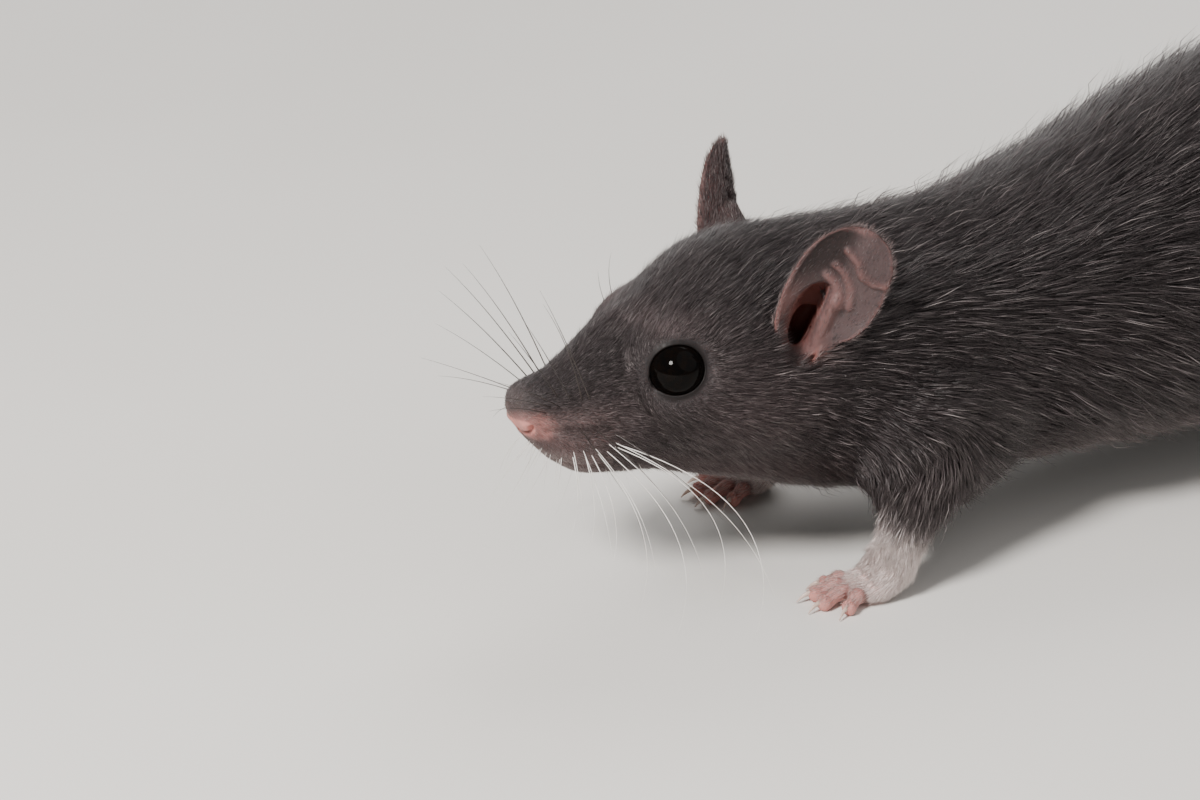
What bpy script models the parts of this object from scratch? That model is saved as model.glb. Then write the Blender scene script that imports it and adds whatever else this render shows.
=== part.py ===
"""A young grey rat creeping forward on all four feet: a life-size still model.

Run with: blender --background --python part.py
The rat faces -Y, its left side is +X, and its feet and tail rest on Z = 0. Sizes are in
millimetres and angles in degrees up to new_object, which makes metres of them.
"""

import math

import bmesh
import bpy
import numpy as np

MM = 0.001
GAP = 0.3
FLOOR_BOX_DEPTH = 6.0
FLOOR_BOX_ACROSS = (-70.0, 90.0)
FLOOR_BOX_BACK = (-20.0, 290.0)

# How finely the curved shapes are divided, and how near their poles the first and last rings lie.
SPINE_STEPS = 600
TAIL_STEPS = 400
TAIL_RINGS = 9
FOOT_RINGS = 8
BALL_RINGS = 8
POLE_GAP = 0.06  # radians

# How finely the pieces are faceted.
BODY_SIDES = 24
LEG_SIDES = 14
FOOT_SIDES = 12
TAIL_SIDES = 10
TOE_SIDES = 6
BALL_SIDES = 16
EAR_ROWS = 9
EAR_COLUMNS = 11

# The middle of the whole model seen from above, which becomes the origin.
MIDDLE_X = 5.56
MIDDLE_Y = 125.79

# Head and trunk: distance behind the nose tip, height of the back and of the underside over the
# floor, half-width, height of the widest level, and the fullness above and below it (2: ellipse).
NOSE_HEIGHT = 22.5
BODY_SECTIONS = np.array([
    (0.0, 22.9, 21.9, 0.4, 22.5, 2.0, 2.0),
    (1.0, 24.1, 19.9, 2.2, 22.0, 2.2, 2.2),
    (2.5, 24.7, 17.9, 3.1, 21.3, 2.2, 2.2),
    (4.5, 25.3, 15.9, 4.4, 20.1, 2.0, 2.3),
    (7.0, 26.8, 14.6, 5.6, 19.3, 1.9, 2.4),
    (10.0, 29.0, 13.9, 6.6, 19.5, 1.85, 2.3),
    (14.0, 31.5, 13.3, 8.2, 21.5, 1.9, 2.1),
    (18.0, 33.8, 12.3, 9.9, 22.0, 2.0, 2.1),
    (22.0, 35.4, 11.2, 11.3, 22.0, 2.1, 2.1),
    (26.0, 36.2, 10.0, 12.0, 22.0, 2.1, 2.1),
    (36.0, 35.9, 6.9, 12.6, 21.5, 2.1, 2.1),
    (50.0, 35.5, 5.9, 14.6, 20.0, 2.1, 2.2),
    (64.0, 37.6, 6.2, 16.6, 20.0, 2.1, 2.3),
    (82.0, 42.6, 5.8, 19.0, 20.0, 2.1, 2.4),
    (98.0, 44.8, 5.8, 20.6, 20.5, 2.1, 2.4),
    (112.0, 44.0, 6.2, 20.8, 21.0, 2.0, 2.3),
    (126.0, 38.6, 7.2, 17.6, 20.0, 2.0, 2.1),
    (136.0, 31.4, 8.2, 12.8, 18.5, 2.0, 2.0),
    (143.0, 24.2, 9.6, 7.6, 16.5, 2.0, 2.0),
    (146.5, 18.6, 12.4, 2.6, 15.5, 2.0, 2.0),
])
RUMP = BODY_SECTIONS[-1, 0]
HEAD_END = 33.0
NECK_END = 46.0

# How far, in degrees, the backbone points to the rat's left of straight back, and how far the
# left side of the head is rolled up, at distances behind the nose tip.
BEND_AT = (0.0, 30.0, 58.0, 100.0, RUMP)
BEND = (7.0, 7.0, 1.0, -1.0, -5.0)
ROLL_AT = (0.0, 26.0, 56.0, RUMP)
ROLL = (6.0, 6.0, 0.0, 0.0)

# Head features in the head's own measures: behind the nose tip, out to the side, over the nose.
EYE_RADIUS = 2.9
EYE = (15.8, 6.6, 2.7)
EAR_BASE = {1: (30.2, 9.7, 3.8), -1: (31.2, 6.6, 7.2)}
EAR_UP = {1: (0.14, 0.42, 0.90), -1: (-0.08, 0.43, 0.92)}
EAR_ACROSS = (0.72, 0.68, -0.12)
EAR_HEIGHT = 12.8
EAR_THICKNESS = 0.8
# The ear flap's front and rear half: how wide and how curled they are up the ear.
EAR_RISE = (-0.2, 0.0, 0.2, 0.4, 0.65, 0.85, 1.0)
EAR_FRONT_WIDTH = (5.0, 5.8, 6.4, 6.0, 5.4, 4.8, 4.0)
EAR_REAR_WIDTH = (2.0, 3.4, 5.2, 6.4, 6.8, 6.4, 5.4)
EAR_FRONT_CURL = (120.0, 100.0, 78.0, 66.0, 54.0, 45.0, 40.0)
EAR_REAR_CURL = (70.0, 60.0, 48.0, 42.0, 36.0, 32.0, 30.0)
EAR_LEAN_BACK = 1.6

# Each limb as rows of (behind the nose, out from the backbone, over the floor, half-width,
# half-depth): the foreleg runs from inside the shoulder past the wrist to the knuckles, the shin
# from the knee into the heel, and the hind foot from the heel to its knuckles.
FORELEG = np.array([
    (49.5, 8.5, 22.0, 4.6, 6.0),
    (45.2, 12.2, 18.5, 5.4, 6.9),
    (40.8, 14.2, 13.6, 4.7, 6.0),
    (38.4, 14.8, 9.6, 3.6, 4.2),
    (37.2, 14.8, 6.6, 2.9, 3.0),
    (36.4, 14.5, 3.8, 2.8, 2.7),
    (34.6, 14.1, 1.75, 2.8, 1.9),
    (32.6, 13.8, 1.15, 2.6, 1.3),
    (31.6, 13.6, 0.9, 2.0, 1.0),
])
WRIST = 4.0
SHIN = np.array([
    (105.5, 15.6, 10.0, 3.6, 3.6),
    (109.0, 16.2, 9.0, 4.8, 5.4),
    (118.0, 16.8, 7.2, 4.2, 4.6),
    (126.0, 17.0, 5.4, 3.2, 3.5),
    (130.5, 16.9, 3.4, 2.2, 2.2),
])
HINDFOOT = np.array([
    (133.6, 16.8, 2.4, 1.2, 1.4),
    (132.6, 16.8, 2.2, 2.1, 2.3),
    (130.0, 16.9, 2.15, 2.5, 2.4),
    (125.0, 17.3, 1.85, 2.5, 2.1),
    (117.0, 18.5, 1.55, 2.7, 1.8),
    (111.0, 19.5, 1.2, 3.3, 1.4),
    (109.0, 19.8, 0.9, 2.7, 1.1),
])
HAUNCH_CENTRE = (112.5, 13.5, 20.5)
HAUNCH_HALF = (17.5, 9.6, 14.6)
HAUNCH_TILT = 30.0
FOREFOOT_AHEAD = {1: 0.0, -1: -1.0}
HINDFOOT_AHEAD = {1: 0.0, -1: 3.5}

# Toes from the inner to the outer one: how far their roots lie behind the knuckles and out from
# the middle of the foot, the angle they turn out, and their length to the claw.
FORE_TOES = ((1.2, -1.7, -14.0, 3.2), (0.4, -0.6, 2.0, 4.1), (0.4, 0.7, 18.0, 4.1), (1.2, 1.8, 40.0, 3.2))
HIND_TOES = (
    (4.6, -2.3, -16.0, 4.6),
    (0.9, -1.9, -4.0, 7.2),
    (0.4, -0.3, 4.0, 7.8),
    (0.9, 1.3, 13.0, 7.2),
    (3.8, 2.3, 30.0, 5.6),
)
TOE_RADIUS = 0.95
CLAW_LENGTH = 1.5

# The tail from inside the rump to its tip: behind the nose, out, over the floor, radius.
TAIL = np.array([
    (140.0, 0.0, 16.0, 4.4),
    (149.0, 0.2, 12.0, 3.7),
    (158.0, 0.6, 7.2, 3.2),
    (168.0, 1.8, 3.7, 2.8),
    (180.0, 4.4, 2.2, 2.4),
    (195.0, 9.8, 1.85, 2.05),
    (210.0, 16.8, 1.5, 1.7),
    (225.0, 24.6, 1.2, 1.35),
    (239.0, 31.8, 0.9, 1.0),
    (249.0, 36.6, 0.55, 0.6),
])
TAIL_CUTS = (0.0, 0.36, 0.70, 1.0)


def smooth_curve(knots, values, at):
    """A curve through the knots that doesn't swing past them (monotone cubic)."""
    knots, values, at = (np.asarray(each, float) for each in (knots, values, at))
    step = np.diff(knots)
    slope = np.diff(values) / step
    before, after = slope[:-1], slope[1:]
    same_way = before * after > 0
    weight = (step[:-1] + 2 * step[1:]) * after + (2 * step[:-1] + step[1:]) * before
    inner = 3 * (step[:-1] + step[1:]) * before * after / np.where(same_way, weight, 1.0)
    tangent = np.concatenate([slope[:1], np.where(same_way, inner, 0.0), slope[-1:]])
    i = np.clip(np.searchsorted(knots, at) - 1, 0, len(knots) - 2)
    t = np.clip((at - knots[i]) / step[i], 0.0, 1.0)
    return (
        (1 + 2 * t) * (1 - t) ** 2 * values[i]
        + t * (1 - t) ** 2 * step[i] * tangent[i]
        + t**2 * (3 - 2 * t) * values[i + 1]
        - t**2 * (1 - t) * step[i] * tangent[i + 1]
    )


def through_points(points, at):
    """A smooth path through the rows of points (Catmull-Rom); at counts rows from 0."""
    points = np.asarray(points, float)
    padded = np.vstack([2 * points[0] - points[1], points, 2 * points[-1] - points[-2]])
    i = np.clip(np.floor(at).astype(int), 0, len(points) - 2)
    t = (np.asarray(at, float) - i)[:, None]
    p0, p1, p2, p3 = (padded[i + k] for k in range(4))
    return 0.5 * (
        2 * p1
        + (p2 - p0) * t
        + (2 * p0 - 5 * p1 + 4 * p2 - p3) * t**2
        + (3 * p1 - p0 - 3 * p2 + p3) * t**3
    )


def unit(vectors):
    return vectors / np.linalg.norm(vectors, axis=-1, keepdims=True)


def spine(at):
    """Centre line and its back, left and up directions at distances behind the nose tip."""
    at = np.asarray(at, float)
    marks = np.linspace(0.0, TAIL[-1, 0] + 10.0, SPINE_STEPS)
    bend = np.radians(smooth_curve(BEND_AT, BEND, marks))
    step = marks[1] - marks[0]
    along = np.stack([np.sin(bend), np.cos(bend)], axis=1) * step
    line = np.cumsum(along, axis=0) - along
    centre = np.stack(
        [
            np.interp(at, marks, line[:, 0]),
            np.interp(at, marks, line[:, 1]),
            np.full_like(at, NOSE_HEIGHT),
        ],
        axis=-1,
    )
    bend = np.radians(smooth_curve(BEND_AT, BEND, at))
    roll = np.radians(smooth_curve(ROLL_AT, ROLL, at))[..., None]
    back = np.stack([np.sin(bend), np.cos(bend), np.zeros_like(bend)], axis=-1)
    level_left = np.stack([np.cos(bend), -np.sin(bend), np.zeros_like(bend)], axis=-1)
    upright = np.array([0.0, 0.0, 1.0])
    left = np.cos(roll) * level_left + np.sin(roll) * upright
    up = np.cos(roll) * upright - np.sin(roll) * level_left
    return centre, back, left, up


def in_body(behind, out, height):
    """World points from measures along, across and above (over the floor) the backbone."""
    centre, _, left, up = spine(behind)
    out, over_nose = np.asarray(out, float), np.asarray(height, float) - NOSE_HEIGHT
    return centre + out[..., None] * left + over_nose[..., None] * up


def beside_body(measures):
    """World points from rows of (behind the nose, level out to the left, over the floor)."""
    measures = np.asarray(measures, float)
    marks = measures[..., 0]
    centre, back, _, _ = spine(marks)
    level_left = np.stack([back[..., 1], -back[..., 0], np.zeros_like(marks)], axis=-1)
    points = centre + measures[..., 1:2] * level_left
    points[..., 2] = measures[..., 2]
    return points


def in_head(measures):
    """World point of (behind the nose, out to the left, over the nose)."""
    centre, back, left, up = spine(0.0)
    return centre + measures[0] * back + measures[1] * left + measures[2] * up


def head_direction(measures):
    _, back, left, up = spine(0.0)
    return measures[0] * back + measures[1] * left + measures[2] * up


def rounded(values, power):
    return np.sign(values) * np.abs(values) ** (2.0 / power)


def body_rings(start, end, count, sides, grow=0.0):
    """Closed outlines of the head and trunk between two distances behind the nose tip."""
    at = np.linspace(start, end, count)
    top, under, half, widest, full_up, full_down = (
        smooth_curve(BODY_SECTIONS[:, 0], BODY_SECTIONS[:, k], at)[:, None] for k in range(1, 7)
    )
    angle = np.arange(sides) * 2 * math.pi / sides
    across, rise = np.cos(angle)[None], np.sin(angle)[None]
    power = np.where(rise > 0, full_up, full_down)
    reach = np.where(rise > 0, top + grow - widest, widest - under + grow)
    out = (half + grow) * rounded(across, power)
    height = widest + reach * rounded(rise, power)
    return in_body(np.broadcast_to(at[:, None], out.shape), out, height)


def tube_rings(path, half_sizes, side, sides, at):
    """Oval outlines square to a path: half_sizes holds the half-width along side and the other."""
    centre = through_points(path, at)
    sizes = np.maximum(through_points(half_sizes, at), 0.05)
    last = len(path) - 1
    nudge = 0.01
    ahead = through_points(path, np.minimum(at + nudge, last))
    behind = through_points(path, np.maximum(at - nudge, 0.0))
    along = unit(ahead - behind)
    side = np.asarray(side, float)
    width = unit(side - (along @ side)[:, None] * along)
    depth = np.cross(along, width)
    angle = np.arange(sides) * 2 * math.pi / sides
    return (
        centre[:, None]
        + np.cos(angle)[None, :, None] * (sizes[:, :1] * width)[:, None]
        + np.sin(angle)[None, :, None] * (sizes[:, 1:] * depth)[:, None]
    )


def loft(rings):
    """A closed solid over rings of points, with a flat face at each end."""
    count, sides = rings.shape[:2]
    index = np.arange(count * sides).reshape(count, sides)
    turned = np.roll(index, -1, axis=1)
    walls = np.stack([index[:-1], turned[:-1], turned[1:], index[1:]], axis=-1).reshape(-1, 4)
    faces = walls.tolist() + [index[0][::-1].tolist(), index[-1].tolist()]
    return rings.reshape(-1, 3), faces


def sheet(surface, normals, thickness):
    """A closed shell of one thickness over a grid of points."""
    rows, columns = surface.shape[:2]
    half = 0.5 * thickness * normals
    points = np.concatenate([(surface + half).reshape(-1, 3), (surface - half).reshape(-1, 3)])
    front = np.arange(rows * columns).reshape(rows, columns)
    back = front + rows * columns
    quads = []
    for row in range(rows - 1):
        for column in range(columns - 1):
            corner = (slice(row, row + 2), slice(column, column + 2))
            a, b, d, c = front[corner].ravel().tolist()
            quads.append([a, b, c, d])
            a, b, d, c = back[corner].ravel().tolist()
            quads.append([d, c, b, a])
    edge = np.concatenate([front[0, :-1], front[:-1, -1], front[-1, :0:-1], front[:0:-1, 0]])
    behind = edge + rows * columns
    for k in range(len(edge)):
        after = (k + 1) % len(edge)
        quads.append([int(edge[after]), int(edge[k]), int(behind[k]), int(behind[after])])
    return points, quads


def new_material(name, colour, roughness):
    material = bpy.data.materials.new(name)
    material.use_nodes = True
    shader = material.node_tree.nodes["Principled BSDF"]
    shader.inputs["Base Color"].default_value = (*colour, 1.0)
    shader.inputs["Roughness"].default_value = roughness
    shader.inputs["Metallic"].default_value = 0.0
    return material


def new_object(name, points, faces, material=None):
    """An object from millimetre points, its faces turned outwards."""
    moved = (np.asarray(points, float) - (MIDDLE_X, MIDDLE_Y, 0.0)) * MM
    mesh = bpy.data.meshes.new(name)
    mesh.from_pydata(moved.tolist(), [], faces)
    outward = bmesh.new()
    outward.from_mesh(mesh)
    bmesh.ops.recalc_face_normals(outward, faces=outward.faces)
    outward.to_mesh(mesh)
    outward.free()
    mesh.shade_smooth()
    mesh.set_sharp_from_angle(angle=math.radians(50))
    made = bpy.data.objects.new(name, mesh)
    bpy.context.scene.collection.objects.link(made)
    if material:
        made.data.materials.append(material)
    return made


def hide(helper):
    helper.hide_render = True
    helper.display_type = "WIRE"
    return helper


def combine(target, helper, operation):
    modifier = target.modifiers.new(f"{operation.lower()} {helper.name}", "BOOLEAN")
    modifier.operation = operation
    modifier.solver = "EXACT"
    modifier.object = hide(helper)


def ball_rings(radius, segments, rings):
    """Outlines of a round ball with its poles out to the sides."""
    turn = np.arange(segments) * 2 * math.pi / segments
    tilt = np.linspace(POLE_GAP, math.pi - POLE_GAP, rings)
    ring_radius = radius * np.sin(tilt)[:, None]
    sideways = np.broadcast_to(radius * np.cos(tilt)[:, None], (rings, segments))
    return np.stack([sideways, ring_radius * np.cos(turn), ring_radius * np.sin(turn)], axis=-1)


def ball(name, centre, radius, material=None):
    points, faces = loft(ball_rings(radius, BALL_SIDES, BALL_RINGS))
    return new_object(name, centre + points, faces, material)


def floor_cutter():
    """A box under the floor, which gives the soles and the tail their flats."""
    heights = (-FLOOR_BOX_DEPTH, 0.0)
    corners = np.array([(x, y, z) for z in heights for y in FLOOR_BOX_BACK for x in FLOOR_BOX_ACROSS])
    faces = [(0, 2, 3, 1), (4, 5, 7, 6), (0, 1, 5, 4), (2, 6, 7, 3), (0, 4, 6, 2), (1, 3, 7, 5)]
    return hide(new_object("floor_cutter", corners, [list(face) for face in faces]))


def eye_sockets():
    for side in (1, -1):
        centre = in_head((EYE[0], side * EYE[1], EYE[2]))
        yield side, centre


def ear_surface(side, rows, columns):
    """The ear flap as a leaf that is rolled up at its base and opens towards its tip."""
    mirror = np.array([1.0, side, 1.0])
    base = in_head(mirror * EAR_BASE[side])
    up = unit(head_direction(mirror * EAR_UP[side]))
    across = head_direction(mirror * EAR_ACROSS)
    across = unit(across - (across @ up) * up)
    forward = np.cross(up, across) * -side
    rise = 1.0 - 1.2 * np.linspace(1.0, 0.0, rows)[:, None] ** 1.5
    spread = np.linspace(-1.0, 1.0, columns)[None]
    front, rear, front_curl, rear_curl = (
        smooth_curve(EAR_RISE, values, rise)
        for values in (EAR_FRONT_WIDTH, EAR_REAR_WIDTH, EAR_FRONT_CURL, EAR_REAR_CURL)
    )
    tip_rounding = np.sqrt(np.clip(1.0 - np.abs(rise) ** 4, 0.01, 1.0))
    width = np.where(spread < 0, front, rear) * tip_rounding
    curl = np.radians(np.where(spread < 0, front_curl, rear_curl))
    radius = width / curl
    sideways = radius * np.sin(curl * spread)
    cupped = radius * (1.0 - np.cos(curl * spread)) - EAR_LEAN_BACK * rise**2
    surface = (
        base
        + (EAR_HEIGHT * rise)[..., None] * up
        + sideways[..., None] * across
        + cupped[..., None] * forward
    )
    return surface


def grid_normals(surface):
    down_rows = np.gradient(surface, axis=0)
    along_row = np.gradient(surface, axis=1)
    return unit(np.cross(down_rows, along_row))


def limb(table, side, ahead, start, stop, sides, count, grow=0.0):
    """The stretch of a limb between two rows of its table, on one side of the body."""
    placed = table[:, :3] * (1.0, side, 1.0) - (ahead, 0.0, 0.0)
    path = beside_body(placed)
    at = np.linspace(start, stop, count)
    rings = tube_rings(path, table[:, 3:] + grow, (1.0, 0.0, 0.0), sides, at)
    return path, loft(rings)


def turned_out(direction, angle, side):
    """A level direction turned by an angle away from the rat's middle."""
    turn = math.radians(angle) * side
    x, y = direction[:2]
    return np.array([
        x * math.cos(turn) - y * math.sin(turn),
        x * math.sin(turn) + y * math.cos(turn),
        0.0,
    ])


def toe(name, root, direction, length):
    """A toe with its pad and its curved claw as one tube."""
    reach = np.append(np.array([0.0, 0.4, 0.8, 1.0]) * length, length + CLAW_LENGTH)
    height = np.array([1.1, 1.5, 0.85, 0.75, 0.2])
    radius = np.array([1.0, 0.95, 0.92, 0.45, 0.09]) * TOE_RADIUS
    path = root + reach[:, None] * direction
    path[:, 2] = height
    across = np.cross(direction, (0.0, 0.0, 1.0))
    at = np.arange(len(path), dtype=float)
    rings = tube_rings(path, np.stack([radius, radius], axis=1), across, TOE_SIDES, at)
    return new_object(name, *loft(rings))


def foot(name, table, toes, side, ahead, start, floor, material):
    """A foot from a row of its limb down to its claws, flat where it stands."""
    path, shape = limb(table, side, ahead, start, len(table) - 1, FOOT_SIDES, FOOT_RINGS)
    made = new_object(name, *shape, material)
    heading = unit((path[-1] - path[-3]) * (1.0, 1.0, 0.0))
    outward = np.array([-heading[1], heading[0], 0.0]) * side
    for number, (behind, out, angle, length) in enumerate(toes, 1):
        root = path[-1] - behind * heading + out * outward
        made_toe = toe(f"{name}_toe_{number}", root, turned_out(heading, angle, side), length)
        combine(made, made_toe, "UNION")
    combine(made, floor, "DIFFERENCE")
    return made


def haunch_shape(side, grow=0.0):
    """The thigh as an egg that leans forward over the foot."""
    tilt = math.radians(HAUNCH_TILT)
    along, out, up = (half + grow for half in HAUNCH_HALF)
    points, faces = loft(ball_rings(1.0, BALL_SIDES, 10))
    points = points * (out, along, up)
    leaning = points.copy()
    leaning[:, 1] = points[:, 1] * math.cos(tilt) - points[:, 2] * math.sin(tilt)
    leaning[:, 2] = points[:, 1] * math.sin(tilt) + points[:, 2] * math.cos(tilt)
    behind, beside, height = HAUNCH_CENTRE
    centre = beside_body((behind - HINDFOOT_AHEAD[side], side * beside, height))
    return centre + leaning, faces


def build_head_and_trunk(coat, face, eye_black, ear_skin):
    head = new_object("head", *loft(body_rings(0.0, HEAD_END, 23, BODY_SIDES)), face)
    neck = new_object("neck", *loft(body_rings(HEAD_END + GAP, NECK_END, 4, BODY_SIDES)), coat)
    trunk = new_object("trunk", *loft(body_rings(NECK_END + GAP, RUMP, 20, BODY_SIDES)), coat)
    for side, centre in eye_sockets():
        label = "left" if side > 0 else "right"
        ball(f"eye_{label}", centre, EYE_RADIUS, eye_black)
        socket = ball(f"eye_socket_{label}", centre, EYE_RADIUS + GAP)
        combine(head, socket, "DIFFERENCE")
    grown = hide(new_object("head_cutter", *loft(body_rings(12.0, NECK_END + 8.0, 24, BODY_SIDES, grow=GAP))))
    for side, label in ((1, "left"), (-1, "right")):
        surface = ear_surface(side, EAR_ROWS, EAR_COLUMNS)
        ear = new_object(
            f"ear_{label}", *sheet(surface, grid_normals(surface), EAR_THICKNESS), ear_skin
        )
        combine(ear, grown, "DIFFERENCE")
    return neck, trunk


def build_tail(trunk_skin, floor):
    """The tail in three lengths, the first one coming out of the rump."""
    path, radius = beside_body(TAIL[:, :3]), TAIL[:, 3]
    marks = np.linspace(0.0, len(path) - 1, TAIL_STEPS)
    line = through_points(path, marks)
    travelled = np.concatenate([[0.0], np.cumsum(np.linalg.norm(np.diff(line, axis=0), axis=1))])
    half_sizes = np.stack([radius, radius], axis=1)
    rump = hide(new_object("rump_cutter", *loft(body_rings(118.0, RUMP, 10, BODY_SIDES, grow=GAP))))
    for number, label in enumerate(("base", "middle", "end")):
        start = TAIL_CUTS[number] * travelled[-1] + (GAP if number else 0.0)
        end = TAIL_CUTS[number + 1] * travelled[-1]
        at = np.interp(np.linspace(start, end, TAIL_RINGS), travelled, marks)
        rings = tube_rings(path, half_sizes, (1.0, 0.0, 0.0), TAIL_SIDES, at)
        length = new_object(f"tail_{label}", *loft(rings), trunk_skin)
        if number == 0:
            combine(length, rump, "DIFFERENCE")
        combine(length, floor, "DIFFERENCE")


def build_forelegs(neck, trunk, coat, bare_skin, floor):
    half_gap = 0.5 * GAP / np.linalg.norm(FORELEG[5, :3] - FORELEG[4, :3])
    for side, label in ((1, "left"), (-1, "right")):
        ahead = FOREFOOT_AHEAD[side]
        _, shape = limb(FORELEG, side, ahead, 0.0, WRIST - half_gap, LEG_SIDES, 8)
        new_object(f"foreleg_{label}", *shape, coat)
        _, grown = limb(FORELEG, side, ahead, 0.0, WRIST - half_gap, LEG_SIDES, 8, grow=GAP)
        cutter = new_object(f"foreleg_cutter_{label}", *grown)
        combine(trunk, cutter, "DIFFERENCE")
        combine(neck, cutter, "DIFFERENCE")
        name = f"forefoot_{label}"
        foot(name, FORELEG, FORE_TOES, side, ahead, WRIST + half_gap, floor, bare_skin)


def build_hindlegs(trunk, coat, bare_skin, floor):
    for side, label in ((1, "left"), (-1, "right")):
        ahead = HINDFOOT_AHEAD[side]
        leg = new_object(f"hindleg_{label}", *haunch_shape(side), coat)
        _, shape = limb(SHIN, side, ahead, 0.0, len(SHIN) - 1, FOOT_SIDES, 7)
        combine(leg, new_object(f"shin_{label}", *shape), "UNION")
        thigh_cutter = new_object(f"haunch_cutter_{label}", *haunch_shape(side, grow=GAP))
        _, grown = limb(SHIN, side, ahead, 0.0, len(SHIN) - 1, FOOT_SIDES, 7, grow=GAP)
        combine(trunk, thigh_cutter, "DIFFERENCE")
        combine(trunk, new_object(f"shin_cutter_{label}", *grown), "DIFFERENCE")
        foot(f"hindfoot_{label}", HINDFOOT, HIND_TOES, side, ahead, 0.0, floor, bare_skin)
        _, grown = limb(HINDFOOT, side, ahead, 0.0, len(HINDFOOT) - 1, FOOT_SIDES, 8, grow=GAP)
        combine(leg, new_object(f"hindfoot_cutter_{label}", *grown), "DIFFERENCE")


def main():
    for old in list(bpy.data.objects):
        bpy.data.objects.remove(old)
    coat = new_material("grey coat", (0.085, 0.075, 0.072), 0.9)
    face = new_material("grey face coat", (0.110, 0.090, 0.086), 0.85)
    eye_black = new_material("black eye", (0.004, 0.004, 0.004), 0.06)
    ear_skin = new_material("thin ear skin", (0.330, 0.205, 0.175), 0.55)
    foot_skin = new_material("white foot", (0.640, 0.480, 0.440), 0.6)
    tail_skin = new_material("scaly tail", (0.300, 0.220, 0.205), 0.6)
    floor = floor_cutter()
    neck, trunk = build_head_and_trunk(coat, face, eye_black, ear_skin)
    build_forelegs(neck, trunk, coat, foot_skin, floor)
    build_hindlegs(trunk, coat, foot_skin, floor)
    build_tail(tail_skin, floor)


if __name__ == "__main__":
    main()
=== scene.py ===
"""Looks of a young grey rat creeping forward: one skin, lids, eyes, claws, whiskers and a short coat.

Sizes are in millimetres and angles in degrees, in the part's own build frame: the nose tip is near
the origin, the rat faces -Y and its left side is +X. write_mesh turns them into metres around the
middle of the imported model.
"""

from __future__ import annotations

import logging
import math
from dataclasses import astuple, dataclass
from enum import IntEnum

import bpy
import numpy as np
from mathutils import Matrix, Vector


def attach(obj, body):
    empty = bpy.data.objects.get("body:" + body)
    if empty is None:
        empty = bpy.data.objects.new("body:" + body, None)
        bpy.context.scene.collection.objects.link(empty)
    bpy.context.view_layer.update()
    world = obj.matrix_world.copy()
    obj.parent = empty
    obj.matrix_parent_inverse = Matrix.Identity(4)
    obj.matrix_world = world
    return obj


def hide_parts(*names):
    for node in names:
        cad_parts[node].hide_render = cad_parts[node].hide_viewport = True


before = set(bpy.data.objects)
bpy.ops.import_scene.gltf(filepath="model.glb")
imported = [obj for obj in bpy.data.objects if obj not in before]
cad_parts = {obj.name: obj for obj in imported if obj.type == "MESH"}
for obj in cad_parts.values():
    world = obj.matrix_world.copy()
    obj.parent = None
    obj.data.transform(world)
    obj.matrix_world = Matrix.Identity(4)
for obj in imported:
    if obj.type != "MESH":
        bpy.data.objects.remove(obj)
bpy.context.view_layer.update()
log = logging.getLogger("young_grey_rat")
Array = np.ndarray
Colour = tuple[float, float, float]
Material = bpy.types.Material
Piece = bpy.types.Object
Socket = bpy.types.NodeSocket

MM = 0.001
MIDDLE = np.array([5.56, 125.79, 0.0])
NOSE_HEIGHT = 22.5
RUMP = 146.5
TRUNK_END = 152
HEAD_END = 33
# How far the right hind leg is ahead of the left one.
HIND_LEAD = 3.5
# Hairs on a square millimetre that hide the skin.
FULL_COAT = 30
UPRIGHT = np.array([0.0, 0.0, 1.0])
SIDES = {"left": 1, "right": -1}


class Part(IntEnum):
    """The parts of the body that the one skin is made of."""

    BODY = 0
    MUSCLE = 1
    SHIN = 2
    FORELEG = 3
    HINDFOOT = 4
    TOE = 5
    TAIL = 6
    EAR = 7
    SOCKET = 8
    LID = 9
    CANAL = 10


# How far, in millimetres, the skin is rounded over where each part grows out of its neighbour.
FILLET = {
    Part.MUSCLE: 8,
    Part.SHIN: 3,
    Part.FORELEG: 7,
    Part.HINDFOOT: 1.4,
    Part.TOE: 0.45,
    Part.TAIL: 0.5,
    Part.EAR: 0.9,
    Part.SOCKET: 0.05,
    Part.LID: 0.3,
    Part.CANAL: 0.35,
}


# --- Curves and fields ---


def smooth_curve(knots: Array, values: Array, at: Array) -> Array:
    """Read a curve through knots that doesn't swing past them (monotone cubic).

    Args:
        knots: Rising places of the knots.
        values: The curve's value at each knot.
        at: Places to read it at; past the ends it keeps the end values.

    Returns:
        The values at those places.
    """
    knots, values, at = (np.asarray(each, float) for each in (knots, values, at))
    step = np.diff(knots)
    slope = np.diff(values) / step
    before, after = slope[:-1], slope[1:]
    same_way = before * after > 0
    weight = (step[:-1] + 2 * step[1:]) * after + (2 * step[:-1] + step[1:]) * before
    inner = 3 * (step[:-1] + step[1:]) * before * after / np.where(same_way, weight, 1)
    tangent = np.concatenate([slope[:1], np.where(same_way, inner, 0), slope[-1:]])
    i = np.clip(np.searchsorted(knots, at) - 1, 0, len(knots) - 2)
    t = np.clip((at - knots[i]) / step[i], 0, 1)
    return (
        (1 + 2 * t) * (1 - t) ** 2 * values[i]
        + t * (1 - t) ** 2 * step[i] * tangent[i]
        + t**2 * (3 - 2 * t) * values[i + 1]
        - t**2 * (1 - t) * step[i] * tangent[i + 1]
    )


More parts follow.
